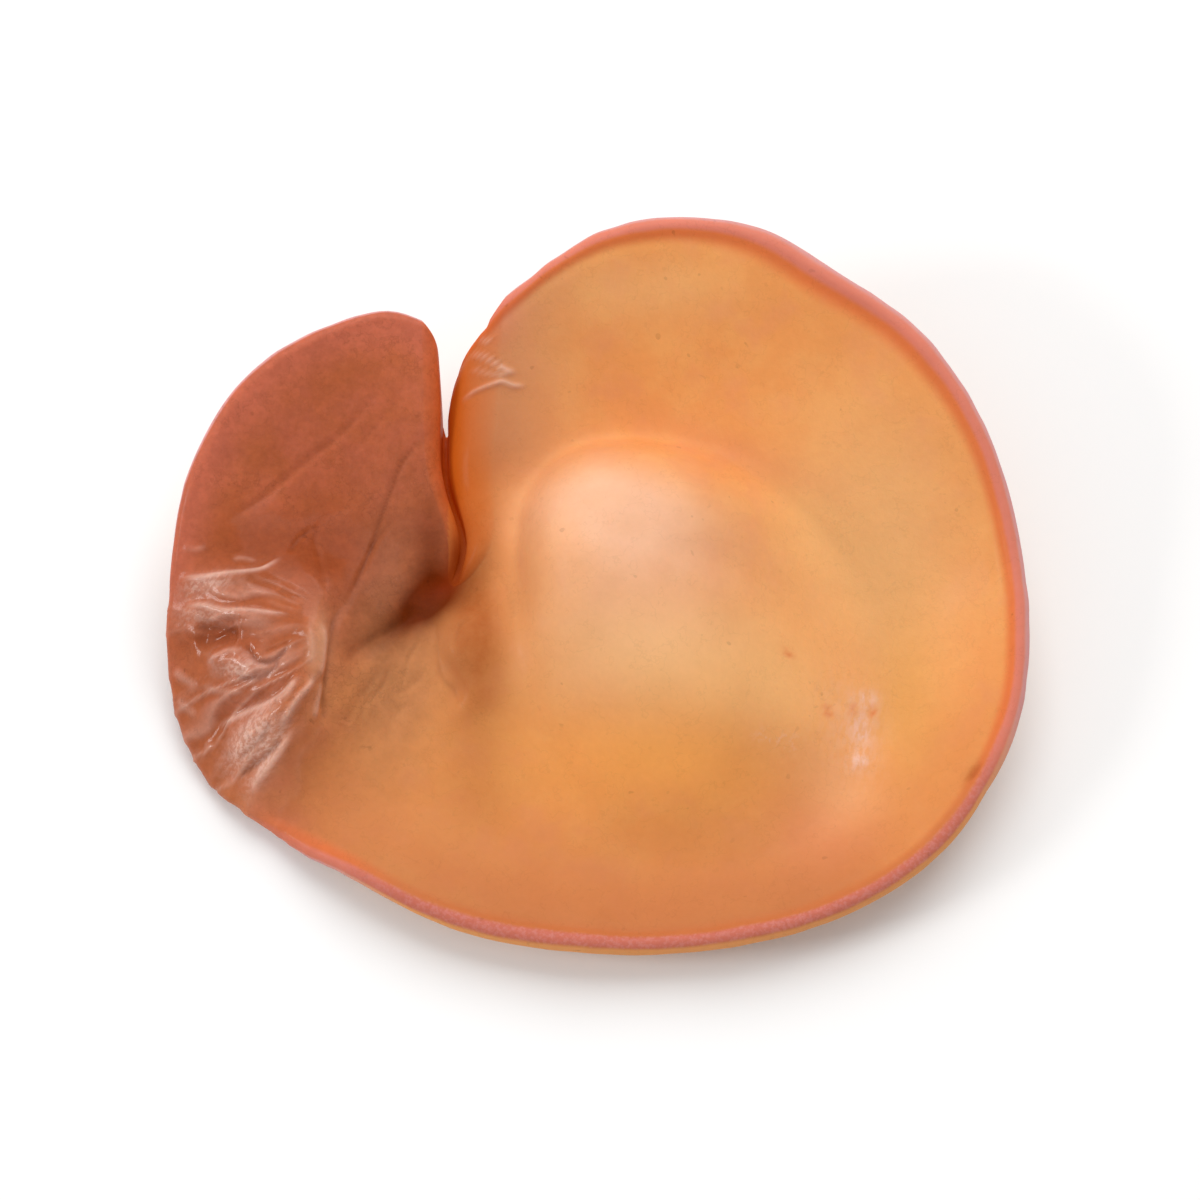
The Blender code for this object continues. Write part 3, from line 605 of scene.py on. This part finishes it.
def zones(x, y, rim):
    """Where the flesh changes and where light and shade are painted on it: shares from 0 to 1 over plan
    (x, y), rim being mm in from the margin. The soft spots are sums of hills, and the rest are products of
    ramps."""
    turn = np.degrees(np.arctan2(-x, y)) % 360.0
    small = 1.0 - ramp(turn, *SMALL_LOBE_END)
    small = np.where(x > 0.0, ramp(-x, -0.6, 0.3) * (y > -6.0) * small, small)
    zone = {name: np.clip(sum(much * hill(x, y, *where) for much, *where in hills), 0.0, 1.0)
            for name, hills in SOFT_SPOTS.items()}
    zone["small_lobe"] = small
    zone["pucker"] = zone["pucker"] * ramp(-x, 8.5, 12.5)
    zone["slit_side"] = ramp(y, 3.0, 9.0) * np.exp(-np.maximum(x - 0.8, 0.0) / 3.0) * (x > 0)
    zone["wall_side"] = ramp(y, 6.0, 13.0) * np.exp(-np.maximum(x - 2.0, 0.0)**2 / 60.0) * (x > 0)
    # darker russet low on the belly: partly the flesh's own tone, partly painted shade
    zone["valley"] = ((1.0 - ramp(rim, 3.0, 19.0)) * ramp(-y, 5.0, 19.0) * ramp(x, -22.0, -12.0)
                      * (0.80 + 0.20 * ramp(x, -6.0, 8.0)) * (1.0 - 0.5 * ramp(x, 33.0, 42.0)))
    zone["low_edge"] = ramp(-y, 10.0, 22.0) * ramp(x, -12.0, -2.0)
    zone["band_squeeze"] = 1.0 / (1.0 + 0.5 * hill(x, y, (33.0, 22.0), (16.0, 12.0))
                                  + 0.35 * hill(x, y, (18.0, -32.0), (24.0, 7.0)))
    return zone


def puckers(x, y):
    """Ridged lines that fan out over the side of the small lobe: broad streaks, and strands between them.
    A line's height is 1 along the zero of a grain drawn out along the fan, and falls off to both sides."""
    fan_x, fan_y = x - FAN[0], y - FAN[1]
    reach = np.hypot(fan_x, fan_y)
    swirl, soft = FAN_SWIRL
    turn = np.degrees(np.arctan2(fan_y, -fan_x)) + grain(x, y, *FAN_WANDER) + swirl / (reach + soft)
    fade = ramp(reach, FAN_START, FAN_FULL) * ramp(-y, *FAN_TOP)
    return [fade * bell(grain(turn, length * reach, size, seed), width)
            for length, size, seed, width in (STREAK_LINES, STRAND_LINES)]


def face_relief(x, y, rim, zone):
    """Fine height of the smooth face: soft waves, wrinkles, fine puckers and a bead along the margin."""
    large = 1.0 - zone["small_lobe"]
    calm = ramp(np.hypot(x, y), 2.0, 9.0)
    waves = calm * (grain(x, y, *WAVES) + grain(x + 9.0, y, *SMALL_WAVES))
    bead = large * sum(much * bell(rim - inwards, width) for much, inwards, width in BEADS)
    fine = zone["pucker"] * (STREAK_HEIGHT * zone["streak"] + STRAND_HEIGHT * zone["strand"])
    ticks = ramp(-x, 6.0, 12.0) * ramp(-y, 12.0, 16.0) * bell(rim, 3.2)
    around = np.degrees(np.arctan2(y, x))
    fine = fine + ticks * grain(around, 0.15 * rim, *TICKS)
    c, s = SHALLOW_LEAN
    wavy_y = c * y - s * x + grain(x, y, *SHALLOW_WANDER)
    shallow = grain(0.3 * (c * x + s * y), wavy_y, *SHALLOW_WAVES)
    shallow = calm * zone["small_lobe"] * shallow
    scuff = (zone["patch"] + zone["scuffs"]) * grain(x, 0.5 * y, *SCUFFING)
    return waves + bead + fine + shallow + scuff + folds(x, y, FOLDS) + folds(x, y, WRINKLES)


def under_relief(x, y, rim):
    """Fine height of the underside: soft ribs that run out from the stub, lumps and velvet grain."""
    around = np.degrees(np.arctan2(y, x))
    reach = np.hypot(x, y)
    ribs = grain(around, 0.25 * reach, *RIBS) * ramp(reach, 8.0, 14.0) * (1.0 - ramp(reach, 24.0, 40.0))
    velvet = sum(grain(x, y, *layer) for layer in VELVET_GRAINS)
    return (ribs + grain(x, y, *LUMPS) + velvet) * ramp(-rim, 1.2, 5.0)


def unit_normals(place):
    """Unit normals of the grid: the cross product of its steps round and its steps out."""
    across = np.roll(place, -1, axis=1) - np.roll(place, 1, axis=1)
    normal = np.cross(across, np.gradient(place, axis=0))
    return normal / np.maximum(np.linalg.norm(normal, axis=-1, keepdims=True), 1e-12)


def skin():
    """All rings of the closed skin between its two poles, the values painted on them, and the numbers of
    the rings at which the underside and the cut start."""
    top = face(np.linspace(0.0, 1.0, FACE_RINGS + 1)[1:, None])
    edge = lip()
    reach = np.linalg.norm(top[-1, :, :2], axis=-1)
    start = np.minimum(FLARE_REACH / reach, FLARE_SHARE)
    under = evened(underside(start + (1.0 - start) * np.linspace(1.0, 0.0, UNDER_RINGS)[:, None]))
    down = stub(under[-1])
    cut = down[-1] * np.linspace(1.0, 0.0, CUT_RINGS + 1)[1:-1, None, None]
    place = np.concatenate([top, edge, under, down, cut])

    run = np.linalg.norm(np.diff(place, axis=0, prepend=place[:1]), axis=-1).cumsum(axis=0)
    middle = len(top) + LIP_RINGS // 2
    rim = run[middle] - run
    x, y = place[..., 0], place[..., 1]
    zone = zones(x, y, rim)
    zone["streak"], zone["strand"] = puckers(x, y)
    ring = np.arange(len(place))[:, None]
    on_top = ring < len(top)
    below = ring >= len(top) + LIP_RINGS
    on_lip = ~on_top & ~below
    under_end = len(top) + len(edge) + len(under)
    stub_end = under_end + STUB_RINGS

    height = np.where(on_top, face_relief(x, y, rim, zone), 0.0)
    turn = (ring - len(top) + 1) / (LIP_RINGS + 1) * np.pi
    along = np.cumsum(np.linalg.norm(np.diff(top[-1], axis=0, prepend=top[-1, -1:]), axis=-1))[None, :]
    ripple = sum(grain(along, 0.0 * along, *layer) for layer in RIPPLES)
    lip_height = height[len(top) - 1] * 0.5 * (1.0 + np.cos(turn)) + ripple * np.sin(turn)
    height = np.where(on_lip, lip_height, height)
    stub_fade = 1.0 - ramp(ring, under_end, stub_end - 1)
    height = np.where(below & (ring < stub_end), under_relief(x, y, rim) * stub_fade, height)
    in_slit = np.concatenate([np.zeros(LOBE_COLUMNS), np.sin(between(0.0, np.pi, SLIT_COLUMNS))])
    height = height * (1.0 - in_slit)
    # the wrinkles again, narrowed, to place painted highlights on their crests and painted shade in their
    # creases
    fine = [(rise, *np.minimum(widths, WRINKLE_FINE), line) for rise, *widths, line in WRINKLES]
    fold = np.where(on_top, folds(x, y, fine) / WRINKLE_FULL, 0.0)
    place = place + height[..., None] * unit_normals(place)
    place[..., 2] = np.maximum(place[..., 2], 0.0)

    zone.update(rim=rim, slit=np.broadcast_to(in_slit**0.5, x.shape), crest=np.clip(fold, 0.0, 1.0),
                crease=np.clip(-fold, 0.0, 1.0))
    return place, zone, (len(top) + LIP_RINGS, stub_end)


def ear_skin(materials):
    """The ear: the grid of the skin, closed at its seam and with one corner at each pole."""
    place, zone, (under_start, cut_start) = skin()
    rings, columns = place.shape[:2]
    pit_pole = face(np.full((1, 1), PIT_SHARE))[0, 0]
    points = np.concatenate([pit_pole[None], place.reshape(-1, 3), np.zeros((1, 3))]) * MM
    index = 1 + np.arange(rings * columns).reshape(rings, columns)
    after = np.roll(index, -1, axis=1)
    quads = np.stack([index[:-1], after[:-1], after[1:], index[1:]], axis=-1).reshape(-1, 4)
    first = np.stack([np.zeros(columns, int), after[0], index[0]], axis=-1)
    last = np.stack([np.full(columns, len(points) - 1), index[-1], after[-1]], axis=-1)
    mesh = bpy.data.meshes.new("ear_skin")
    faces = [corners for group in (quads, first, last) for corners in group[:, ::-1].tolist()]
    mesh.from_pydata(points.tolist(), [], faces)
    ring_of = np.concatenate([np.repeat(np.arange(rings - 1), columns), np.zeros(columns, int),
                              np.full(columns, rings - 1)])
    slots = (ring_of >= under_start).astype(int) + (ring_of >= cut_start - 1)
    mesh.polygons.foreach_set("material_index", slots)
    for start in range(0, len(PAINTS), PAINTS_TO_LAYER):
        values = np.stack([zone[name] for name in PAINTS[start:start + PAINTS_TO_LAYER]], axis=-1)
        poles = values[0].mean(axis=0)[None], values[-1].mean(axis=0)[None]
        values = np.concatenate([poles[0], values.reshape(-1, PAINTS_TO_LAYER), poles[1]])
        layer = mesh.attributes.new("paint_%d" % (start // PAINTS_TO_LAYER), "FLOAT_VECTOR", "POINT")
        layer.data.foreach_set("vector", values.ravel())
    mesh.shade_smooth()
    mesh.update()
    for material in materials:
        mesh.materials.append(material)
    return put("ear_skin", mesh)


def put(name, data):
    """Puts an object with these data into the scene."""
    made = bpy.data.objects.new(name, data)
    bpy.context.scene.collection.objects.link(made)
    return made


def add(tree, kind, settings=None, inputs=None):
    """Adds a node: its settings first, then the values or links of its sockets."""
    made = tree.nodes.new(kind)
    for name, value in (settings or {}).items():
        setattr(made, name, value)
    for name, value in (inputs or {}).items():
        value = value.socket if isinstance(value, Share) else value
        if isinstance(value, bpy.types.NodeSocket):
            tree.links.new(value, made.inputs[name])
        else:
            made.inputs[name].default_value = value
    return made


class Share:
    """A number that varies over a surface: arithmetic with it adds Math nodes."""

    def __init__(self, tree, socket):
        self.tree = tree
        self.socket = socket

    def maths(self, operation, *others, clamp=False):
        values = dict(enumerate((self,) + others))
        made = add(self.tree, "ShaderNodeMath", {"operation": operation, "use_clamp": clamp}, values)
        return Share(self.tree, made.outputs[0])

    def __add__(self, other):
        return self.maths("ADD", other)

    __radd__ = __add__

    def __mul__(self, other):
        return self.maths("MULTIPLY", other)

    __rmul__ = __mul__

    def __sub__(self, other):
        return self.maths("SUBTRACT", other)

    def __rsub__(self, other):
        return self.maths("MULTIPLY_ADD", -1.0, other)

    def clamped(self):
        return self.maths("ADD", 0.0, clamp=True)


def srgb(red, green, blue):
    """Linear colour from the usual 0 to 255 values."""
    parts = np.array((red, green, blue)) / 255.0
    linear = np.where(parts < 0.04045, parts / 12.92, ((parts + 0.055) / 1.055)**2.4)
    return (*(float(v) for v in linear), 1.0)


class Finish:
    """One material: a Principled surface and the patterns that feed it."""

    def __init__(self, name, **constants):
        self.material = bpy.data.materials.new(name)
        self.material.use_nodes = True
        self.tree = self.material.node_tree
        self.surface = self.tree.nodes["Principled BSDF"]
        self.material.cycles.emission_sampling = "NONE"    # its faint glow isn't a lamp
        self.made = {}
        for socket, value in constants.items():
            self.surface.inputs[socket.replace("_", " ")].default_value = value
        self.place = add(self.tree, "ShaderNodeTexCoord").outputs["Object"]

    def painted(self, name):
        """The value painted on the skin under that name."""
        number, part = divmod(PAINTS.index(name), PAINTS_TO_LAYER)
        if number not in self.made:
            layer = add(self.tree, "ShaderNodeAttribute", {"attribute_name": "paint_%d" % number})
            parts = {"Vector": layer.outputs["Vector"]}
            self.made[number] = add(self.tree, "ShaderNodeSeparateXYZ", None, parts).outputs
        return Share(self.tree, self.made[number][part])

    def drawn_out(self, length, turn):
        """Object place for patterns drawn out by a length along a direction, in degrees from +X to +Y."""
        inputs = {"Vector": self.place, "Rotation": (0.0, 0.0, math.radians(turn)),
                  "Scale": (length, 1.0, 1.0)}
        return add(self.tree, "ShaderNodeMapping", {"vector_type": "TEXTURE"}, inputs).outputs["Vector"]

    def noise(self, size, detail=2.0, roughness=0.5, vector=None):
        """Cloudy pattern from 0 to 1 with patches of a size in mm. The same pattern is made only once."""
        key = (size, detail, roughness, vector)
        if key not in self.made:
            inputs = {"Vector": vector or self.place, "Scale": 1.0 / (size * MM), "Detail": detail,
                      "Roughness": roughness}
            made = add(self.tree, "ShaderNodeTexNoise", None, inputs)
            self.made[key] = Share(self.tree, made.outputs["Fac"])
        return self.made[key]

    def rise(self, value, start, end):
        """Smooth rise of a value from 0 at start to 1 at end."""
        inputs = {"Value": value, "From Min": start, "From Max": end}
        made = add(self.tree, "ShaderNodeMapRange", {"interpolation_type": "SMOOTHSTEP"}, inputs)
        return Share(self.tree, made.outputs["Result"])

    def band(self, value, start, end, soft):
        """1 between two values, falling to 0 over a soft width outside them."""
        return self.rise(value, start - soft, start) * (1.0 - self.rise(value, end, end + soft))

    def mix(self, one, other, share):
        """Colour between two others."""
        settings = {"data_type": "RGBA", "clamp_factor": True}
        return add(self.tree, "ShaderNodeMix", settings, {0: share, 6: one, 7: other}).outputs[2]

    def layered(self, colour, *layers):
        """Colour with others laid over it in turn, each with its share. What follows the share multiplies
        it: the name of a painted value, or a pattern."""
        for tint, share, *factors in layers:
            for factor in factors:
                share = share * (self.painted(factor) if isinstance(factor, str) else factor)
            colour = self.mix(colour, tint, share)
        return colour

    def brighten(self, colour, share):
        """Colour times a number."""
        scale = {"operation": "SCALE"}
        made = add(self.tree, "ShaderNodeVectorMath", scale, {"Vector": colour, "Scale": share})
        return made.outputs["Vector"]

    def feed(self, name, socket):
        """Links a socket of the surface."""
        self.tree.links.new(socket, self.surface.inputs[name])

    def finish(self, colour, roughness, height, depth):
        """Feeds the surface; height from 0 to 1 stands for depth in mm."""
        bump = add(self.tree, "ShaderNodeBump", None, {"Height": height, "Distance": depth * MM})
        self.feed("Base Color", colour)
        self.feed("Roughness", roughness.socket)
        self.feed("Normal", bump.outputs["Normal"])
        return self.material


# Colours
ORANGE = srgb(228, 149, 84)
YELLOW_ORANGE = srgb(228, 158, 92)
ROSY = srgb(222, 142, 94)
GLOW = srgb(250, 168, 88)
# painted sheen on the dome
SHEEN_PINK = srgb(232, 178, 143)
PEACH = srgb(250, 190, 124)
PALE_ORANGE = srgb(236, 180, 120)
OCHRE = srgb(214, 154, 84)
RUSSET = srgb(182, 108, 64)
ROSE = srgb(204, 124, 88)
PALE_ROSE = srgb(226, 168, 118)
GREY_TAN = srgb(190, 134, 98)
BROWN_ORANGE = srgb(166, 86, 36)
DEEP_ORANGE = srgb(182, 84, 8)
MAUVE = srgb(178, 94, 58)
MAUVE_EDGE = srgb(188, 100, 76)
# painted sheen and shade of the cup
GREY_MAUVE = srgb(130, 74, 50)
# painted shade round the pit
SHADE_CHESTNUT = srgb(96, 32, 0)
# painted shade in creases and in the pit
SHADE_UMBER = srgb(84, 26, 4)
# painted shade on the shoulder and in the hollow
HOLLOW_SHADE = srgb(138, 62, 26)
TAN = srgb(189, 125, 81)
CLAY = srgb(158, 82, 42)
# painted highlight on the ridge
HIGHLIGHT_TAN = srgb(214, 158, 122)
# pale colour of painted highlights, also used for scuffs
GLINT = srgb(232, 192, 176)
LILAC = srgb(206, 144, 140)
GOLD = srgb(220, 150, 92)
PINK = srgb(212, 124, 106)
DULL_PINK = srgb(192, 106, 90)
EMBER = srgb(216, 106, 58)
CREAM = srgb(232, 164, 108)
VELVET = srgb(200, 144, 100)
FUZZ = srgb(232, 200, 168)
CUT_FLESH = srgb(226, 176, 128)
CUT_RIND = srgb(186, 116, 70)
NO_GLOW = (0.0, 0.0, 0.0, 1.0)
# painted glow: an emission standing in for light through the flesh, deep in the slit and in the pit
PAINTED_GLOW = srgb(104, 30, 0)      # light that comes through the flesh deep in the slit

# The studio, in metres: lights by their place, size and power in watts
MIDDLE = (13.4, -2.0, 8.0)      # what the lights and the camera face, in mm
FLOOR_HALF = 1.5
FLOOR_COLOUR = (0.92, 0.915, 0.91, 1.0)
KEY_LIGHT = ((0.10, 0.40, 0.52), 0.60, 3.5)
SIDE_LIGHT = ((-0.44, -0.08, 0.28), 0.14, 0.9)
SURROUNDINGS = 0.52
LENS = 100.0
ELEVATION = 70.0
DISTANCE = 0.292                # of the camera from the middle

# Cloudy patterns of the flesh: size in mm, detail, roughness
CLOUDS = (6.0, 3.0, 0.6)
PATCHES = (4.0, 4.0, 0.6)
SPOTS = (1.6, 3.0, 0.65)
GRIT = (0.6, 3.0, 0.65)

JELLY = dict(Subsurface_Weight=0.12, Subsurface_Radius=(1.0, 0.38, 0.16), Subsurface_Scale=2.2 * MM, IOR=1.35)
MOIST = dict(Specular_IOR_Level=0.06, Coat_Roughness=0.14, Coat_IOR=1.4, Emission_Strength=1.0)


def margin_colour(f, inner, outer):
    """Colour across the margin: the face's own, an ember line of painted shade just inside the lip, the
    pink band, the lilac edge, then the cream rim of the underside and the underside's own colour."""
    rim = (f.painted("rim") + 0.3 * (f.noise(*PATCHES) - 0.5)) * f.painted("band_squeeze")
    small = f.painted("small_lobe")
    rolled = f.rise(f.painted("pucker"), 0.1, 0.5)
    banded = (1.0 - small) * (1.0 - rolled)
    low = f.painted("low_edge")
    flecks = f.rise(f.noise(0.35, 2.0, 0.6), 0.40, 0.68)
    return f.layered(
        inner,
        # the ember line: painted shade just inside the raised lip
        (f.mix(EMBER, RUSSET, 0.8 * low), banded * 0.75 * f.band(rim, 1.2, 1.55, 1.1)),
        (f.mix(PINK, DULL_PINK, low), banded * 0.9 * f.band(rim, 0.55, 1.05, 0.4)),
        (LILAC, banded * 0.28 * low * flecks * f.band(rim, 0.4, 1.2, 0.3)),
        (MAUVE_EDGE, small * (1.0 - rolled) * 0.8 * f.band(rim, 0.2, 1.4, 3.6)),
        (f.mix(LILAC, GOLD, low), (1.0 - 0.75 * rolled) * f.band(rim, -0.5, 0.3 - 0.15 * low, 0.3)),
        (CREAM, (1.0 - 0.6 * rolled) * (1.0 - f.rise(rim, -1.0, -0.5))),
        (outer, 1.0 - f.rise(rim, -4.5, -1.4)))


def velvet_colour(f):
    """Colour of the underside: tan under a pale fuzz that lies in flecks."""
    flecks = f.rise(f.noise(0.45, 2.0, 0.6), 0.48, 0.72)
    streaks = f.rise(f.noise(1.6, 3.0, 0.6), 0.45, 0.75)
    return f.layered(
        VELVET, (TAN, f.rise(f.noise(9.0, 3.0), 0.4, 0.65)), (FUZZ, 0.40 * flecks + 0.22 * streaks),
        (MAUVE, 0.45, "small_lobe"))


def flesh_colour(f):
    """Colour of the large lobe: clouds of orange, a painted sheen on the dome and painted light on its
    front, a russet belly that is partly the flesh's own tone and partly painted shade, painted shade on
    the foot beside the pit, and deep orange beside the slit."""
    return f.layered(
        ORANGE,
        (YELLOW_ORANGE, 0.6 * f.rise(f.noise(*CLOUDS), 0.42, 0.66)),
        (ROSY, 0.45 * f.rise(f.noise(*PATCHES), 0.46, 0.70)),
        (PALE_ORANGE, 0.9, "pale_side"),
        (OCHRE, 0.75, "yellow", 0.6 + 0.7 * f.noise(*PATCHES)),
        # the first of these is russet low on the belly, partly painted shade
        (RUSSET, 0.85, "valley"), (PEACH, 0.8, "dome_side"),
        (PALE_ROSE, 0.8, "pink_pale"), (ROSE, 0.5, "pink_low"),
        # the second of these is painted light on the front of the dome
        (GLOW, 1.0, "glow"), (PEACH, 0.9, "dome_front_light"),
        # painted sheen on the dome
        (SHEEN_PINK, 1.0, "dome_sheen", 0.75 + 0.4 * f.noise(*CLOUDS)),
        (GREY_TAN, 0.9, "wall_side"), (ROSE, 0.35, "shade_line"),
        # painted shade on the foot beside the pit
        (BROWN_ORANGE, 0.9, "foot", 0.7 + 0.6 * f.noise(*SPOTS)),
        (DEEP_ORANGE, 0.9, "slit_side"))


def small_lobe_colour(f, colour):
    """Colour of the small lobe over that of the large one: mauve brown, a cup greyed by painted sheen and
    darkened by painted shade, a tan trough, clay coloured puckers with painted highlights along their
    lines, painted shade on the shoulder and in the hollow, and a painted highlight along the ridge."""
    streaks = f.painted("pucker") * (f.painted("streak") + 0.25 * f.painted("strand"))
    return f.layered(
        colour,
        (MAUVE, 1.0, "small_lobe"),
        (MAUVE_EDGE, 0.6, "small_lobe", f.rise(f.noise(*PATCHES), 0.30, 0.80)),
        # the first of these is a painted sheen and painted shade that grey and darken the cup
        (GREY_MAUVE, 0.7, "cup"), (TAN, 0.85, "trough"), (CLAY, 0.6, "pucker"),
        # painted shade on the shoulder and in the hollow, then a painted highlight along the ridge
        (HOLLOW_SHADE, 0.75, "shoulder"), (HOLLOW_SHADE, 0.9, "hollow"), (HIGHLIGHT_TAN, 0.7, "ridge_highlight"),
        # painted highlights along the pucker lines, kept out of the hollow
        (GLINT, 0.22 * streaks * (1.0 - f.painted("hollow"))))


def smooth_face():
    """Moist smooth face: both lobes, their wrinkles and painted glints, the margin, and the slit and the pit
    with their painted shade and painted glow.
    """
    f = Finish("smooth_face", **JELLY, **MOIST)
    broken = f.rise(f.noise(0.36, 2.0, 0.6, f.drawn_out(7.0, 40.0)), 0.40, 0.62)
    smears = f.rise(f.noise(0.5, 3.0, 0.6, f.drawn_out(2.5, 84.0)), 0.38, 0.60)
    colour = f.layered(
        small_lobe_colour(f, flesh_colour(f)),
        # painted highlights: wet gloss on the puckers, and glints on the wrinkled patch low on the right
        (GLINT, 0.62, "gloss_highlight", 0.45 + 0.55 * broken),
        (GLINT, 0.7, "patch", 0.3 + 0.7 * smears),
        (GLINT, 0.35, "scuffs", f.rise(f.noise(*GRIT), 0.5, 0.62)),
        (BROWN_ORANGE, 1.0, "notch"), (EMBER, 0.7, "ember_dot"), (PINK, 0.35, "rose"),
        # painted shade in the wrinkles' creases, then painted highlights on their crests
        (SHADE_UMBER, 0.40 * f.rise(f.painted("crease"), 0.05, 0.9)), (GLINT, 0.48, "crest"))
    colour = f.layered(
        margin_colour(f, colour, VELVET),
        # painted shade round the pit, deep in the slit and in the pit
        (SHADE_CHESTNUT, 0.97, "pit_hollow_shade"), (DEEP_ORANGE, 0.7, "slit"), (SHADE_UMBER, 0.8, "pit_shade"))
    mottle = 0.88 + 0.10 * f.noise(*CLOUDS) + 0.09 * f.noise(*GRIT) + 0.06 * f.noise(*SPOTS)
    leather = f.painted("small_lobe") * (0.30 * (f.noise(*GRIT) - 0.5) + 0.34 * (f.noise(*SPOTS) - 0.5))
    specks = f.rise(f.noise(0.7, 0.0), 0.79, 0.84) * f.rise(f.noise(*CLOUDS), 0.48, 0.6)
    veins = f.band(f.noise(*PATCHES), 0.497, 0.503, 0.006)
    branches = f.band(f.noise(*SPOTS), 0.49, 0.51, 0.015) * f.rise(f.noise(*CLOUDS), 0.44, 0.60)
    branches = branches * (f.painted("small_lobe") + f.painted("trough")).clamped()
    blotches = f.painted("trough") * (f.noise(*SPOTS) - 0.5)
    share = mottle + leather - 0.16 * specks - 0.05 * veins - 0.11 * branches + 0.35 * blotches
    colour = f.brighten(colour, share)
    # painted glow deep in the slit and in the pit
    deep = (f.painted("slit") + f.painted("pit_shade")).clamped()
    f.feed("Emission Color", f.mix(NO_GLOW, PAINTED_GLOW, 0.7 * deep))
    dry = 1.0 - (f.painted("pit_hollow_shade") + f.painted("pit_shade")).clamped()
    wet = 0.36 * f.painted("pucker") * (1.0 - f.painted("shoulder"))
    f.feed("Coat Weight", (dry * (0.04 + 0.05 * f.painted("small_lobe") + wet)).socket)
    roughness = 0.50 - 0.06 * f.painted("small_lobe") + 0.10 * (f.noise(*SPOTS) - 0.5)
    return f.finish(colour, roughness, f.noise(*GRIT), 0.03)


def velvet_underside():
    """Matt velvety underside."""
    f = Finish("velvet_underside", Sheen_Weight=0.35, Sheen_Roughness=0.5, Sheen_Tint=FUZZ, **JELLY)
    colour = margin_colour(f, TAN, velvet_colour(f))
    colour = f.brighten(colour, 0.92 + 0.16 * f.noise(4.0, 3.0))
    roughness = 0.72 + 0.12 * f.noise(1.0)
    height = 0.6 * f.noise(0.35, 3.0, 0.65) + 0.4 * f.noise(1.4, 2.0)
    return f.finish(colour, roughness, height, 0.22)


def cut_face():
    """Paler flesh where the stub was cut, with a darker rind and knife marks."""
    f = Finish("cut_face", **JELLY)
    marks = f.noise(0.8, 2.0, 0.5, f.drawn_out(8.0, 24.0))
    colour = f.mix(CUT_FLESH, CUT_RIND, 0.6 * f.rise(f.noise(2.0, 3.0), 0.45, 0.75))
    colour = f.brighten(colour, 0.9 + 0.2 * marks)
    return f.finish(colour, 0.5 + 0.1 * f.noise(1.0), marks, 0.12)


def floor():
    """A pale floor under the ear."""
    corners = [(x * FLOOR_HALF, y * FLOOR_HALF, 0.0) for x, y in ((-1, -1), (1, -1), (1, 1), (-1, 1))]
    mesh = bpy.data.meshes.new("floor")
    mesh.from_pydata(corners, [], [(0, 1, 2, 3)])
    finish = Finish("pale_floor", Base_Color=FLOOR_COLOUR, Roughness=0.8, Specular_IOR_Level=0.0)
    mesh.materials.append(finish.material)
    put("floor", mesh)


def aimed(name, data, place, target):
    """A lamp or a camera at a place, facing the target."""
    made = put(name, data)
    made.location = place
    made.rotation_euler = (target - made.location).to_track_quat("-Z", "Y").to_euler()
    return made


def soft_light(name, place, size, power, target):
    """A square soft light that faces the target."""
    lamp = bpy.data.lights.new(name, "AREA")
    lamp.energy = power
    lamp.size = size
    aimed(name, lamp, place, target)


def camera(target):
    """The camera in front of the ear, looking down on it."""
    lens = bpy.data.cameras.new("camera")
    lens.lens = LENS
    lens.clip_start = 0.01
    angle = math.radians(ELEVATION)
    place = target + DISTANCE * Vector((0.0, -math.cos(angle), math.sin(angle)))
    bpy.context.scene.camera = aimed("camera", lens, place, target)


def studio():
    """Floor, lights, surroundings and camera."""
    middle = Vector(MIDDLE) * MM
    floor()
    soft_light("key", *KEY_LIGHT, middle)
    soft_light("side", *SIDE_LIGHT, middle)
    world = bpy.data.worlds.new("surroundings")
    world.use_nodes = True
    background = world.node_tree.nodes["Background"].inputs
    background["Color"].default_value = (1.0, 1.0, 1.0, 1.0)
    background["Strength"].default_value = SURROUNDINGS
    bpy.context.scene.world = world
    bpy.context.scene.view_settings.view_transform = "Standard"
    camera(middle)


ear = ear_skin((smooth_face(), velvet_underside(), cut_face()))
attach(ear, "root")
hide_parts("fruit_body")
studio()
